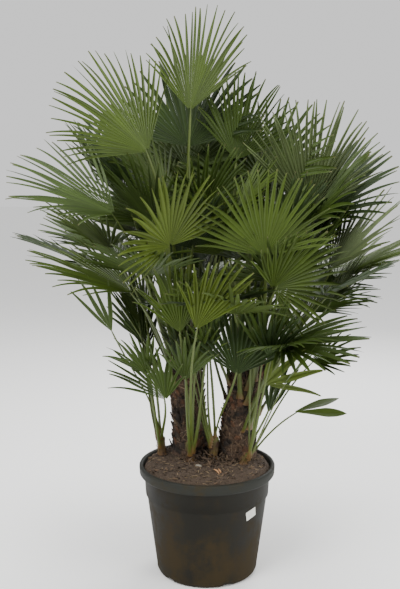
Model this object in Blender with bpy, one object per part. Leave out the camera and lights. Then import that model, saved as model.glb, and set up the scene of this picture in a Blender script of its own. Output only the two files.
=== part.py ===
"""A European fan palm growing as a clump in a round nursery pot.

Two trunks and four suckers stand in the soil of the pot, and each carries fan-shaped fronds on long
stalks. Every frond is one thin closed solid: a four-sided stalk that runs into a folded blade, cut to
the rib between its leaflets. Metres, +Z up, origin at the middle of the pot's flat underside, and the
side of the plant that is shown most often looks along -Y.
"""

import math
import random
from collections import namedtuple

import bmesh
import bpy
import numpy as np
from mathutils.bvhtree import BVHTree

# Pot
POT_HEIGHT = 0.445
RIM_RADIUS = 0.275
RIM_BAND = 0.040
COLLAR_TOP_RADIUS = 0.2545
COLLAR_FOOT_RADIUS = 0.2495
COLLAR_FOOT_Z = 0.325
BODY_TOP_RADIUS = 0.2440
BODY_FOOT_RADIUS = 0.2060
FOOT_RADIUS = 0.190
WALL = 0.004
FLOOR = 0.018
POT_SIDES = 48
NOTCHES = 5
NOTCH_WIDTH = 0.050
NOTCH_HEIGHT = 0.011
NOTCH_FIRST_AZIMUTH = -66.0

# Soil
SOIL_TOP = 0.455
SOIL_SHOULDER = (0.236, 0.447)
SOIL_EDGE_Z = 0.430
SOIL_FLAT_RADIUS = 0.216
GAP = 0.0003

# Trunks, as the middle line at shares of the height
TRUNK_SIDES = 24
Stem = namedtuple("Stem", "foot bend top foot_radius waist_radius top_radius sides")
STEMS = {
    "trunk_left": Stem((-0.070, 0.104), (-0.078, 0.100), (-0.096, 0.092, 0.960), 0.082, 0.067, 0.050, TRUNK_SIDES),
    "trunk_right": Stem((0.120, 0.070), (0.134, 0.066), (0.186, 0.060, 0.860), 0.088, 0.070, 0.050, TRUNK_SIDES),
    "sucker_left": Stem((-0.186, 0.070), (-0.189, 0.070), (-0.192, 0.069, 0.530), 0.020, 0.016, 0.012, 12),
    "sucker_front": Stem((-0.066, -0.008), (-0.067, -0.011), (-0.068, -0.018, 0.535), 0.023, 0.018, 0.014, 12),
    "sucker_middle": Stem((0.024, 0.010), (0.027, 0.008), (0.032, 0.002, 0.550), 0.021, 0.017, 0.013, 12),
    "sucker_right": Stem((0.146, -0.048), (0.152, -0.051), (0.166, -0.058, 0.505), 0.020, 0.015, 0.012, 12),
}

# Fronds. hub is where stalk and blade meet, aim and face are (azimuth, elevation) in degrees of the
# blade's middle leaflet and of its upper side, radius is the longest leaflet from the hub, spread is the
# angle from the middle leaflet to the outermost one, and cup is how strongly the sides rise to the upper
# side. Azimuth 0 is +X and -90 is -Y.
Frond = namedtuple("Frond", "name stem hub aim face radius spread cup leaflets stalk")
STALK = 0.011
SLIM_STALK = 0.007
SEEN_FRONDS = [
    Frond("frond_crown_top", "trunk_left", (-0.067, 0.000, 1.845), (-7, 81), (-131, 5), 0.44, 55, 0.18, 15, STALK),
    Frond("frond_upper_left", "trunk_left", (-0.223, -0.100, 1.687), (-162, 50), (-57, 9), 0.45, 58, 0.29, 16, STALK),
    Frond("frond_far_left", "trunk_left", (-0.345, -0.150, 1.458), (-164, 27), (-45, 52), 0.45, 62, 0.58, 14, STALK),
    Frond("frond_front_left", "trunk_left", (-0.134, -0.350, 1.355), (-97, 57), (-39, -19), 0.32, 100, 0.16, 15, STALK),
    Frond("frond_low_left", "trunk_left", (-0.285, -0.100, 1.154), (-173, 27), (-24, 61), 0.45, 60, 0.35, 14, STALK),
    Frond("frond_upper_middle", "trunk_right", (0.115, 0.100, 1.661), (-20, 78), (-60, -10), 0.38, 60, 0.22, 14, STALK),
    Frond("frond_upper_right", "trunk_right", (0.401, 0.060, 1.452), (30, 80), (106, -6), 0.50, 56, 0.10, 17, STALK),
    Frond("frond_far_right", "trunk_right", (0.488, 0.000, 1.231), (6, 57), (-160, 33), 0.42, 58, 0.20, 13, STALK),
    Frond("frond_lower_right", "trunk_right", (0.490, 0.040, 1.093), (8, 52), (-165, 36), 0.27, 46, 0.30, 10, STALK),
    Frond("frond_front_right", "trunk_right", (0.204, -0.300, 1.315), (-128, 86), (-102, -3), 0.34, 78, 0.30, 15, STALK),
    Frond("frond_middle_right", "trunk_right", (0.238, -0.250, 1.193), (1, 30), (-69, -31), 0.32, 98, 0.18, 14, STALK),
    Frond("frond_right_side", "trunk_right", (0.290, -0.120, 0.962), (-7, 12), (-129, 68), 0.34, 104, 0.20, 13, STALK),
    Frond("frond_right_young", "trunk_right", (0.222, -0.105, 0.795), (-35, 31), (-100, -25), 0.27, 50, 0.10, 4, SLIM_STALK),
    Frond("frond_sucker_left_1", "sucker_left", (-0.368, -0.100, 1.002), (-150, 64), (-110, -20), 0.28, 30, 0.2, 4, SLIM_STALK),
    Frond("frond_sucker_left_2", "sucker_left", (-0.162, -0.085, 0.728), (-150, 62), (-115, -24), 0.31, 56, 0.3, 8, SLIM_STALK),
    Frond("frond_sucker_front_1", "sucker_front", (-0.043, -0.350, 1.056), (-40, 60), (-70, -25), 0.33, 40, 0.13, 7, SLIM_STALK),
    Frond("frond_sucker_front_2", "sucker_front", (-0.102, -0.250, 1.026), (-120, 76), (-87, -12), 0.30, 42, 0.19, 8, SLIM_STALK),
    Frond("frond_sucker_middle_1", "sucker_middle", (0.111, -0.170, 0.850), (-60, 82), (-95, 0), 0.33, 60, 0.2, 10, SLIM_STALK),
    Frond("frond_sucker_right_1", "sucker_right", (0.246, 0.000, 0.650), (20, 74), (-88, 12), 0.28, 26, 0.2, 4, SLIM_STALK),
    Frond("frond_sucker_right_2", "sucker_right", (0.347, -0.030, 0.663), (8, 8), (-98, 63), 0.235, 26, 0.1, 2, SLIM_STALK),
    Frond("frond_sucker_right_3", "sucker_right", (0.420, 0.030, 0.858), (-18, 24), (-136, 50), 0.22, 56, 0.2, 7, SLIM_STALK),
]

# The fronds that fill the crown behind and inside follow one rule for each trunk: they turn by the
# golden angle inside a sector, and lean out further with age.
GOLDEN_ANGLE = 137.508
Filling = namedtuple("Filling", "stem count first_azimuth sector_start sector least_lean most_lean reach seed")
FILLINGS = [
    Filling("trunk_left", 15, 20.0, 50.0, 120.0, 6.0, 62.0, (0.72, 0.44), 120),
    Filling("trunk_right", 15, 60.0, 5.0, 120.0, 6.0, 62.0, (0.70, 0.42), 113),
]

# Blade shape
NOTCH_SHARE = 0.43
OUTER_LEAFLET_SHARE = 0.74
SAG = 0.05
FOLD = 0.28
HUB_THICKNESS = 0.0052
RIB_THICKNESS = 0.0046
TIP_THICKNESS = 0.0030
STALK_RINGS = 7
STALK_FOOT_WIDEN = 1.7
CLEARANCE = 0.0008
SWAYS = [(side, lift) for lift in (0.0, 0.03, -0.03, 0.06) for side in (0.0, 0.03, -0.03, 0.06, -0.06, 0.1, -0.1)]
BENDS = (0.0, 7.0, -7.0, 14.0, -14.0)
LENGTHS = (1.0, 0.86, 0.7, 0.54)


def unit(vector):
    vector = np.asarray(vector, float)
    return vector / np.linalg.norm(vector)


def direction(azimuth, elevation):
    """Unit vector at that azimuth and elevation, both in degrees."""
    a, e = math.radians(azimuth), math.radians(elevation)
    return np.array([math.cos(a) * math.cos(e), math.sin(a) * math.cos(e), math.sin(e)])


def clear_scene():
    for obj in list(bpy.data.objects):
        bpy.data.objects.remove(obj)


def material(name, color, roughness):
    made = bpy.data.materials.new(name)
    made.use_nodes = True
    shader = made.node_tree.nodes["Principled BSDF"]
    shader.inputs["Base Color"].default_value = (*color, 1.0)
    shader.inputs["Roughness"].default_value = roughness
    shader.inputs["Metallic"].default_value = 0.0
    return made


def new_object(name, points, faces, finish, smooth_angle=None):
    """An object from points and faces, with its normals turned outwards."""
    mesh = bpy.data.meshes.new(name)
    mesh.from_pydata([tuple(p) for p in points], [], [tuple(f) for f in faces])
    shell = bmesh.new()
    shell.from_mesh(mesh)
    bmesh.ops.recalc_face_normals(shell, faces=shell.faces)
    shell.to_mesh(mesh)
    shell.free()
    if smooth_angle:
        mesh.shade_smooth()
        mesh.set_sharp_from_angle(angle=math.radians(smooth_angle))
    mesh.materials.append(finish)
    obj = bpy.data.objects.new(name, mesh)
    bpy.context.scene.collection.objects.link(obj)
    return obj


def turned(profile, sides):
    """Points and faces of a profile of (radius, z) turned about Z. It starts and ends on the axis."""
    turns = np.linspace(0.0, 2.0 * math.pi, sides, endpoint=False)
    inner = profile[1:-1]
    points = [(0.0, 0.0, profile[0][1])]
    for radius, z in inner:
        points.extend((radius * math.cos(a), radius * math.sin(a), z) for a in turns)
    points.append((0.0, 0.0, profile[-1][1]))
    last, top_row = len(points) - 1, 1 + (len(inner) - 1) * sides
    faces = []
    for k in range(sides):
        nxt = (k + 1) % sides
        faces.append((0, 1 + k, 1 + nxt))
        faces.append((last, top_row + nxt, top_row + k))
        for row in range(len(inner) - 1):
            low, high = 1 + row * sides, 1 + (row + 1) * sides
            faces.append((low + k, high + k, high + nxt, low + nxt))
    return points, faces


def pot_profile():
    """Half section of the pot: round foot, tapered body, stepped collar, deep rim band and inner wall."""
    rim_foot_z = POT_HEIGHT - RIM_BAND
    return [
        (0.0, 0.0),
        (FOOT_RADIUS, 0.0),
        (FOOT_RADIUS + 0.0095, 0.005),
        (BODY_FOOT_RADIUS - 0.0015, 0.016),
        (BODY_FOOT_RADIUS, 0.032),
        (BODY_TOP_RADIUS, COLLAR_FOOT_Z - 0.003),
        (COLLAR_FOOT_RADIUS, COLLAR_FOOT_Z),
        (COLLAR_TOP_RADIUS, rim_foot_z),
        (RIM_RADIUS - 0.006, rim_foot_z),
        (RIM_RADIUS - 0.003, rim_foot_z + 0.004),
        (RIM_RADIUS, POT_HEIGHT - 0.007),
        (RIM_RADIUS - 0.003, POT_HEIGHT),
        (RIM_RADIUS - 0.013, POT_HEIGHT),
        (RIM_RADIUS - 0.0165, POT_HEIGHT - 0.005),
        (COLLAR_TOP_RADIUS - WALL, rim_foot_z - 0.010),
        (BODY_TOP_RADIUS - WALL, COLLAR_FOOT_Z - 0.006),
        (BODY_FOOT_RADIUS - WALL, FLOOR + 0.012),
        (BODY_FOOT_RADIUS - WALL - 0.008, FLOOR),
        (0.0, FLOOR),
    ]


def notch_cutters():
    """Five low drainage mouths in the pot's bottom edge, as the boxes that cut them."""
    cutters = []
    for k in range(NOTCHES):
        azimuth = NOTCH_FIRST_AZIMUTH + 360.0 * k / NOTCHES
        out = direction(azimuth, 0.0)
        side = direction(azimuth + 90.0, 0.0)
        half, shoulder = NOTCH_WIDTH / 2, NOTCH_WIDTH / 2 - 0.009
        section = [(-half, -0.01), (half, -0.01), (half, 0.003), (shoulder, NOTCH_HEIGHT),
                   (-shoulder, NOTCH_HEIGHT), (-half, 0.003)]
        points = [
            out * radius + side * across + np.array([0.0, 0.0, z])
            for radius in (FOOT_RADIUS - 0.030, RIM_RADIUS)
            for across, z in section
        ]
        count = len(section)
        faces = [tuple(range(count)), tuple(range(count, 2 * count))]
        faces += [(i, (i + 1) % count, count + (i + 1) % count, count + i) for i in range(count)]
        cutter = new_object(f"notch_cutter_{k}", points, faces, bpy.data.materials["pot_plastic"])
        cutter.hide_render = True
        cutter.display_type = "WIRE"
        cutters.append(cutter)
    return cutters


def build_pot():
    points, faces = turned(pot_profile(), POT_SIDES)
    pot = new_object("pot", points, faces, bpy.data.materials["pot_plastic"], smooth_angle=35)
    for cutter in notch_cutters():
        cut = pot.modifiers.new("drainage_notch", "BOOLEAN")
        cut.operation = "DIFFERENCE"
        cut.object = cutter
    return pot


def build_soil():
    """The root ball: it fills the pot's inside, 0.3 mm clear, and its top is a low flat mound."""
    facet = math.cos(math.pi / POT_SIDES)
    gap = GAP / facet + 0.0002
    profile = [
        (0.0, FLOOR + GAP),
        (BODY_FOOT_RADIUS - WALL - 0.008 - gap, FLOOR + GAP),
        (BODY_FOOT_RADIUS - WALL - gap, FLOOR + 0.012 + GAP),
        (BODY_TOP_RADIUS - WALL - gap, COLLAR_FOOT_Z - 0.006),
        (COLLAR_TOP_RADIUS - WALL - gap, POT_HEIGHT - RIM_BAND - 0.010),
        (RIM_RADIUS - 0.0165 - 0.004 - gap, SOIL_EDGE_Z),
        SOIL_SHOULDER,
        (SOIL_FLAT_RADIUS, SOIL_TOP),
        (0.0, SOIL_TOP),
    ]
    points, faces = turned(profile, POT_SIDES)
    return new_object("soil", points, faces, bpy.data.materials["soil"], smooth_angle=30)


def stem_axis(stem, share):
    """Point of a stem's middle line at a share of its height: a quadratic curve foot, bend, top."""
    foot = np.array([*stem.foot, SOIL_TOP + GAP])
    top = np.array(stem.top)
    bend = np.array([*stem.bend, (foot[2] + top[2]) / 2])
    return (1 - share) ** 2 * foot + 2 * share * (1 - share) * bend + share**2 * top


def stem_radius(stem, share):
    """A root flare over the lowest fifth, a nearly even stem, and shoulders that close in at the top."""
    flare = (stem.foot_radius - stem.waist_radius) * max(0.0, 1 - share / 0.22) ** 2
    close = (stem.waist_radius - stem.top_radius) * max(0.0, (share - 0.80) / 0.20) ** 2
    return stem.waist_radius + flare - close


def build_stem(name, stem, rings=11):
    """A lofted stem of level rings from a flat cut on the soil to a flat top."""
    shares = np.linspace(0.0, 1.0, rings)
    turns = np.linspace(0.0, 2.0 * math.pi, stem.sides, endpoint=False)
    points = []
    for share in shares:
        centre, radius = stem_axis(stem, share), stem_radius(stem, share)
        points.extend(centre + radius * np.array([math.cos(a), math.sin(a), 0.0]) for a in turns)
    sides = stem.sides
    faces = [tuple(range(sides)), tuple(range((rings - 1) * sides, rings * sides))]
    for row in range(rings - 1):
        for k in range(sides):
            nxt = (k + 1) % sides
            faces.append((row * sides + k, row * sides + nxt, (row + 1) * sides + nxt, (row + 1) * sides + k))
    finish = bpy.data.materials["trunk_fibre" if name.startswith("trunk") else "sucker_sheath"]
    return new_object(name, points, faces, finish, smooth_angle=40)


def filling_fronds():
    """Fronds that close the crown behind and inside, younger ones upright and older ones leaning out."""
    fronds = []
    for rule in FILLINGS:
        draw = random.Random(rule.seed)
        top = np.array(STEMS[rule.stem].top)
        for k in range(rule.count):
            age = k / (rule.count - 1)
            turn = (rule.first_azimuth + k * GOLDEN_ANGLE) % rule.sector
            azimuth = rule.sector_start + turn + draw.uniform(-6, 6)
            lean = rule.least_lean + (rule.most_lean - rule.least_lean) * age + draw.uniform(-3, 3)
            reach = rule.reach[0] + (rule.reach[1] - rule.reach[0]) * age + draw.uniform(-0.04, 0.04)
            hub = top + reach * direction(azimuth, 90.0 - lean)
            aim = (azimuth + draw.uniform(-14, 14), 82.0 - 1.05 * lean)
            face = (azimuth + 180.0 + draw.uniform(-25, 25), 30.0 + 0.5 * lean)
            radius = 0.44 - 0.06 * abs(age - 0.4) + draw.uniform(-0.03, 0.02)
            name = f"frond_{rule.stem.removeprefix('trunk_')}_{k + 1:02d}"
            fronds.append(Frond(name, rule.stem, tuple(hub), aim, face, radius, 80, 0.2, 13, STALK))
    return fronds


def lean_of(frond):
    """How far the frond's hub stands out from straight above its stem, in degrees."""
    offset = np.array(frond.hub) - np.array(STEMS[frond.stem].top)
    return math.degrees(math.atan2(math.hypot(offset[0], offset[1]), offset[2]))


SEAT_FIRST_DROP = {"trunk": 0.014, "sucker": 0.008}
SEAT_STEP = {"trunk": 0.0145, "sucker": 0.011}
TOP_SEATS = {"trunk": 3, "sucker": 1}


def seats(fronds):
    """Where each frond leaves its stem: {name: (drop below the top, or None on the top; azimuth)}.

    On each stem the fronds are taken from the most upright to the most leaning. The first few stand evenly
    round the stem's flat top, and each further one sits a step lower on its side, towards its own hub.
    """
    found = {}
    for stem_name in STEMS:
        kind = stem_name.split("_")[0]
        own = sorted((f for f in fronds if f.stem == stem_name), key=lean_of)
        for rank, frond in enumerate(own):
            offset = np.array(frond.hub) - np.array(STEMS[stem_name].top)
            azimuth = math.degrees(math.atan2(offset[1], offset[0]))
            side_rank = rank - TOP_SEATS[kind]
            drop = None if side_rank < 0 else SEAT_FIRST_DROP[kind] + SEAT_STEP[kind] * side_rank
            if drop is None:
                azimuth = 90.0 + 360.0 * rank / TOP_SEATS[kind]
            found[frond.name] = (drop, azimuth)
    return found


def seat_point(stem, drop, azimuth, surface):
    """(point 0.3 mm off the stem's faceted surface, the surface's outward normal there)."""
    height = stem.top[2] - SOIL_TOP - GAP
    out = direction(azimuth, 0.0)
    if drop is None:
        aside = 0.62 * stem.top_radius if stem.sides == TRUNK_SIDES else 0.0
        near = np.array(stem.top) + out * aside + np.array([0.0, 0.0, 0.01])
    else:
        share = 1.0 - drop / height
        near = stem_axis(stem, share) + out * (stem_radius(stem, share) + 0.01)
    place, normal, _, _ = surface.find_nearest(near)
    return np.array(place) + GAP * np.array(normal), np.array(normal)


def bezier(p0, p1, p2, p3, t):
    """Point and unit tangent of a cubic curve at t."""
    s = 1.0 - t
    point = s**3 * p0 + 3 * s * s * t * p1 + 3 * s * t * t * p2 + t**3 * p3
    slope = s * s * (p1 - p0) + 2 * s * t * (p2 - p1) + t * t * (p3 - p2)
    return point, unit(slope)


def blade_axes(frond):
    """(along the middle leaflet, across to the right, out of the upper side)."""
    along = direction(*frond.aim)
    upper = direction(*frond.face)
    upper = unit(upper - (upper @ along) * along)
    return along, np.cross(along, upper), upper


def stalk_rings(frond, seat, normal, sway=(0.0, 0.0), grow=0.0):
    """Corner points of the stalk's cross sections, from its foot on the stem to the hub.

    The middle line is a cubic curve that leaves the stem steeply and reaches the hub nearly in line with
    the blade, and sway bows it aside and upwards. Each ring holds its upper left, upper right, lower right and lower
    left corner.
    """
    hub = np.array(frond.hub)
    along, across, upper = blade_axes(frond)
    span = hub - seat
    length = np.linalg.norm(span)
    up = np.array([0.0, 0.0, 1.0])
    leave = unit(0.55 * unit(span) + 0.45 * up + 0.25 * normal)
    arrive = unit(0.65 * unit(span) + 0.35 * along)
    start = seat + normal * 0.004
    side = unit(np.cross(span, up))
    aside = sway[0] * side + sway[1] * unit(np.cross(side, span))
    controls = (start, start + leave * 0.34 * length + 0.6 * aside,
                hub - arrive * 0.34 * length + aside, hub - along * 0.012)
    foot_side = np.cross(normal, up)
    if np.linalg.norm(foot_side) < 0.3:
        foot_side = np.cross(normal, across)
        foot_side = np.cross(foot_side, normal)
    foot_side = unit(foot_side)
    if foot_side @ across < 0:
        foot_side = -foot_side
    rings = []
    cap_up = np.cross(foot_side, normal)
    if cap_up @ upper < 0 and abs(cap_up @ up) < 0.5:
        cap_up = -cap_up
    width, depth = frond.stalk * STALK_FOOT_WIDEN / 2 + grow, frond.stalk * 0.5 + grow
    cap = [seat - foot_side * width + cap_up * depth, seat + foot_side * width + cap_up * depth,
           seat + foot_side * width - cap_up * depth, seat - foot_side * width - cap_up * depth]
    rings.append(cap)
    for k in range(1, STALK_RINGS + 1):
        t = k / STALK_RINGS
        centre, tangent = bezier(*controls, t)
        side = (1 - t) * foot_side + t * across
        side = unit(side - (side @ tangent) * tangent)
        top = np.cross(side, tangent)
        taper = (1 - t) * STALK_FOOT_WIDEN + t
        width = frond.stalk * taper / 2 + grow
        depth = frond.stalk * (0.34 * (1 - t) + 0.24 * t) * taper + grow
        rings.append([centre - side * width + top * depth, centre + side * width + top * depth,
                      centre + side * width - top * depth, centre - side * width - top * depth])
    return rings


def stalk_faces(count, first=0):
    """Faces of a stalk of count rings of four corners, capped at its foot and open at the hub."""
    faces = [tuple(first + k for k in range(4))]
    for ring in range(count - 1):
        low, high = first + 4 * ring, first + 4 * (ring + 1)
        for k in range(4):
            nxt = (k + 1) % 4
            faces.append((low + k, low + nxt, high + nxt, high + k))
    return faces


def blade_point(frond, angle, distance):
    """Point of the cupped blade surface at an angle from the middle leaflet and a distance from the hub."""
    along, across, upper = blade_axes(frond)
    lift = frond.cup * distance * (1.0 - math.cos(angle))
    sag = SAG * distance * distance / frond.radius
    flat = distance * (math.cos(angle) * along + math.sin(angle) * across)
    return np.array(frond.hub) + flat + lift * upper - sag * np.array([0.0, 0.0, 1.0])


def leaflet_reach(frond, angle):
    """Outer leaflets are shorter than the middle one, by a square law."""
    share = angle / math.radians(frond.spread)
    return frond.radius * (1.0 - (1.0 - OUTER_LEAFLET_SHARE) * share * share)


def leaflet_angles(frond):
    spread = math.radians(frond.spread)
    margins = np.linspace(-spread, spread, frond.leaflets + 1)
    return margins, (margins[:-1] + margins[1:]) / 2


def leaflet_corners(frond, index, bend, stretch, margin=0.0):
    """Corner points of one leaflet with its share of the palm: hub, left notch, rib, right notch, tip.

    The rib lies lower than the two margins, which gives the blade its folds. bend turns the free part out
    of the blade's plane, in degrees, and stretch shortens it.
    """
    margins, middles = leaflet_angles(frond)
    _, across, upper = blade_axes(frond)
    left_angle, middle, right_angle = margins[index], middles[index], margins[index + 1]
    notch = NOTCH_SHARE * leaflet_reach(frond, middle)
    left = blade_point(frond, left_angle, NOTCH_SHARE * leaflet_reach(frond, left_angle))
    right = blade_point(frond, right_angle, NOTCH_SHARE * leaflet_reach(frond, right_angle))
    fold = FOLD * np.linalg.norm(right - left) / 2
    rib = blade_point(frond, middle, notch) - fold * upper
    free = (leaflet_reach(frond, middle) - notch) * stretch
    tip = blade_point(frond, middle, notch + free)
    lean = math.radians(bend)
    run = tip - rib
    tip = rib + run * math.cos(lean) + upper * np.linalg.norm(run) * math.sin(lean)
    if margin:
        sideways = unit(right - left) * margin
        left, right = left - sideways, right + sideways
        tip = tip + unit(run) * margin
    return np.array(frond.hub), left, rib, right, tip


def leaflet_tree(frond, index, bend, stretch, palm_only=False):
    """Search tree of one leaflet, grown by the clearance on every side."""
    _, _, upper = blade_axes(frond)
    hub, left, rib, right, tip = leaflet_corners(frond, index, bend, stretch, margin=CLEARANCE)
    if palm_only:
        tip = rib + (tip - rib) * 0.02
    thick = (HUB_THICKNESS, RIB_THICKNESS, RIB_THICKNESS, RIB_THICKNESS, TIP_THICKNESS)
    top = [p + upper * CLEARANCE for p in (hub, left, rib, right, tip)]
    low = [p - upper * (t + CLEARANCE) for p, t in zip((hub, left, rib, right, tip), thick)]
    upper_faces = [(0, 2, 1), (0, 3, 2), (1, 2, 4), (2, 3, 4)]
    walls = [(0, 1), (1, 4), (4, 3), (3, 0)]
    faces = upper_faces + [tuple(k + 5 for k in f) for f in upper_faces]
    faces += [(a, b, b + 5) for a, b in walls] + [(a, b + 5, a + 5) for a, b in walls]
    return BVHTree.FromPolygons([tuple(p) for p in top + low], faces)


def touches(tree, others):
    return any(tree.overlap(other) for other in others)


def fitted_leaflets(frond, obstacles):
    """[(bend, stretch) or None for each leaflet]: the least change that keeps it clear of its neighbours.

    A leaflet first bends aside, then grows shorter. Where even its part of the palm would touch something,
    it is left out, which leaves a deeper split in the fan.
    """
    found = []
    for index in range(frond.leaflets):
        if touches(leaflet_tree(frond, index, 0.0, 1.0, palm_only=True), obstacles):
            found.append(None)
            continue
        tries = [(bend, stretch) for stretch in LENGTHS for bend in BENDS]
        clear = (t for t in tries if not touches(leaflet_tree(frond, index, *t), obstacles))
        found.append(next(clear, (0.0, 0.10)))
    return found


def blade_mesh(frond, leaflets, rings):
    """Points and faces of the whole frond: stalk and blade as one closed sheet of varying thickness.

    The upper and lower sides have the same layout, and walls join them along the outline. Where a leaflet
    is left out, the outline runs in along its ray to a point near the hub.
    """
    _, _, upper = blade_axes(frond)
    margins, _ = leaflet_angles(frond)
    top, low = [], []

    def add(point, thickness):
        top.append(point)
        low.append(point - upper * thickness)
        return len(top) - 1

    hub = add(np.array(frond.hub), HUB_THICKNESS)
    notch = {}
    near = {}
    kept = [k for k, leaflet in enumerate(leaflets) if leaflet]
    for ray in range(frond.leaflets + 1):
        beside = [k for k in (ray - 1, ray) if 0 <= k < frond.leaflets]
        if any(k in kept for k in beside):
            reach = NOTCH_SHARE * leaflet_reach(frond, margins[ray])
            notch[ray] = add(blade_point(frond, margins[ray], reach), RIB_THICKNESS)
        if any(k not in kept for k in beside):
            near[ray] = add(blade_point(frond, margins[ray], 0.10 * frond.radius), HUB_THICKNESS)
    sides, outline = [], []

    def ray_points(ray):
        return [p for p in (near.get(ray), notch.get(ray)) if p is not None]

    for index, leaflet in enumerate(leaflets):
        if leaflet is None:
            sides.append((hub, near[index], near[index + 1]))
            outline.append((near[index], near[index + 1]))
            continue
        _, _, rib, _, tip = leaflet_corners(frond, index, *leaflet)
        rib, tip = add(rib, RIB_THICKNESS), add(tip, TIP_THICKNESS)
        left, right = [hub, *ray_points(index)], [hub, *ray_points(index + 1)]
        sides += [(rib, a, b) for a, b in zip(left, left[1:])]
        sides += [(rib, b, a) for a, b in zip(right, right[1:])]
        sides += [(notch[index], rib, tip), (rib, notch[index + 1], tip)]
        outline += [(notch[index], tip), (tip, notch[index + 1])]
        if index - 1 not in kept and index in near:
            outline.append((near[index], notch[index]))
        if index + 1 not in kept and index + 1 in near:
            outline.append((notch[index + 1], near[index + 1]))
    count = len(top)
    points = top + low
    stalk_first = len(points)
    for ring in rings:
        points += ring
    faces = [f for f in sides] + [tuple(k + count for k in f) for f in sides]
    faces += [(a, b, b + count, a + count) for a, b in outline]
    faces += stalk_faces(len(rings), stalk_first)
    upper_left, upper_right, lower_right, lower_left = (len(points) - 4 + k for k in range(4))
    first = near[0] if 0 in near else notch[0]
    last = near[frond.leaflets] if frond.leaflets in near else notch[frond.leaflets]
    for left, right, shift in ((upper_left, upper_right, 0), (lower_left, lower_right, count)):
        faces += [(hub + shift, first + shift, left), (hub + shift, left, right), (hub + shift, right, last + shift)]
    faces += [(first, upper_left, lower_left, first + count), (last, upper_right, lower_right, last + count)]
    return points, faces


def tree_of(points, faces):
    return BVHTree.FromPolygons([tuple(p) for p in points], [tuple(f) for f in faces])


def object_tree(obj):
    return BVHTree.FromPolygons([v.co[:] for v in obj.data.vertices], [tuple(p.vertices) for p in obj.data.polygons])


def placed_stalks(fronds, stems, still):
    """{name: rings} and {name: search tree}: each stalk takes the first sway that clears the earlier ones."""
    found = seats(fronds)
    stalks, grown = {}, {}
    for frond in fronds:
        seat, normal = seat_point(STEMS[frond.stem], *found[frond.name], stems[frond.stem])
        for sway in SWAYS:
            wide = stalk_rings(frond, seat, normal, sway, grow=CLEARANCE)
            tree = tree_of([p for ring in wide for p in ring], stalk_faces(len(wide)))
            if not touches(tree, list(grown.values()) + [t for name, t in still.items() if name != frond.stem]):
                break
        stalks[frond.name] = stalk_rings(frond, seat, normal, sway)
        grown[frond.name] = tree
    return stalks, grown


def build_fronds(fronds, stems, still):
    """Every frond as one solid. Stalks are placed first, and then each blade is fitted between them."""
    stalks, grown = placed_stalks(fronds, stems, still)
    blades = list(still.values())
    for frond in fronds:
        others = [tree for name, tree in grown.items() if name != frond.name]
        leaflets = fitted_leaflets(frond, others + blades)
        points, faces = blade_mesh(frond, leaflets, stalks[frond.name])
        new_object(frond.name, points, faces, bpy.data.materials["frond"])
        blades.append(tree_of(points, faces))


def main():
    clear_scene()
    material("pot_plastic", (0.020, 0.021, 0.018), 0.55)
    material("soil", (0.060, 0.040, 0.024), 0.95)
    material("trunk_fibre", (0.075, 0.045, 0.027), 0.90)
    material("sucker_sheath", (0.250, 0.130, 0.050), 0.75)
    material("frond", (0.075, 0.130, 0.022), 0.45)
    pot = build_pot()
    soil = build_soil()
    stems = {name: object_tree(build_stem(name, stem)) for name, stem in STEMS.items()}
    still = {"pot": object_tree(pot), "soil": object_tree(soil), **stems}
    build_fronds(SEEN_FRONDS + filling_fronds(), stems, still)


main()
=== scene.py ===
# %% [markdown]
# A fan palm clump in a nursery pot
#
# The real plant is a clump: two fibrous trunks and four thin shoots share one black nursery pot, and each
# carries fans on long stalks. The packed CAD model gives the pot, the soil, the stems and 51 fronds as
# plain solids. Cutting every leaflet in CAD would cost far too many faces, so this script replaces each
# solid by a finer surface that grows by the same rule, to the same reach. Smaller fronds inside the crown
# and the pot's label have no solid of their own.

# %% Tools and the CAD frame
import math
import random
from collections import namedtuple

import bpy
import numpy as np
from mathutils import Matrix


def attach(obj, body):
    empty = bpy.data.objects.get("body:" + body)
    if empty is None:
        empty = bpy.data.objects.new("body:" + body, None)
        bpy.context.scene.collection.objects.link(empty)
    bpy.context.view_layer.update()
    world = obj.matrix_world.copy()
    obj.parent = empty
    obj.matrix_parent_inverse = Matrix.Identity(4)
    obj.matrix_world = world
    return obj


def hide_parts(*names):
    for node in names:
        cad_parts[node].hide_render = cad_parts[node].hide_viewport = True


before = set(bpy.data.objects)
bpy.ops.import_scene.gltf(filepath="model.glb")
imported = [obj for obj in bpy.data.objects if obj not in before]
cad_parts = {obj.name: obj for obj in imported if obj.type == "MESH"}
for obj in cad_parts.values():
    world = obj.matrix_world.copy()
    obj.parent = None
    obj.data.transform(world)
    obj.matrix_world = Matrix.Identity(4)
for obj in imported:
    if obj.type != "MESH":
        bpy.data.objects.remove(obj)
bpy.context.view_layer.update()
print("nodes", len(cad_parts))

# %% [markdown]
# Shader maths
#
# Stains, streaks and veins are masks, numbers between 0 and 1 that are made from noise. In the node editor
# each step of such a sum is one Math node. Here a small class wraps a socket instead, so that a mask reads
# as a formula and its nodes are added behind it.

# %% A socket with plus, minus and times
class Value:
    """An output socket that takes part in sums of numbers, on either side of the sign."""

    def __init__(self, shader, socket):
        self.shader, self.socket = shader, socket

    def math(self, operation, other, swap=False):
        """Adds a Math node on this value and the other one, in that order or swapped."""
        first, second = (other, self) if swap else (self, other)
        return self.shader.node("ShaderNodeMath", {"operation": operation}, {0: first, 1: second})

    def __add__(self, other):
        return self.math("ADD", other)

    __radd__ = __add__

    def __sub__(self, other):
        return self.math("SUBTRACT", other)

    def __rsub__(self, other):
        return self.math("SUBTRACT", other, swap=True)

    def __mul__(self, other):
        return self.math("MULTIPLY", other)

    __rmul__ = __mul__

    def sibling(self, name):
        """Another output of the same node."""
        return Value(self.shader, self.socket.node.outputs[name])


print("reflected signs", [name for name in vars(Value) if name.startswith("__r")])


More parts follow.
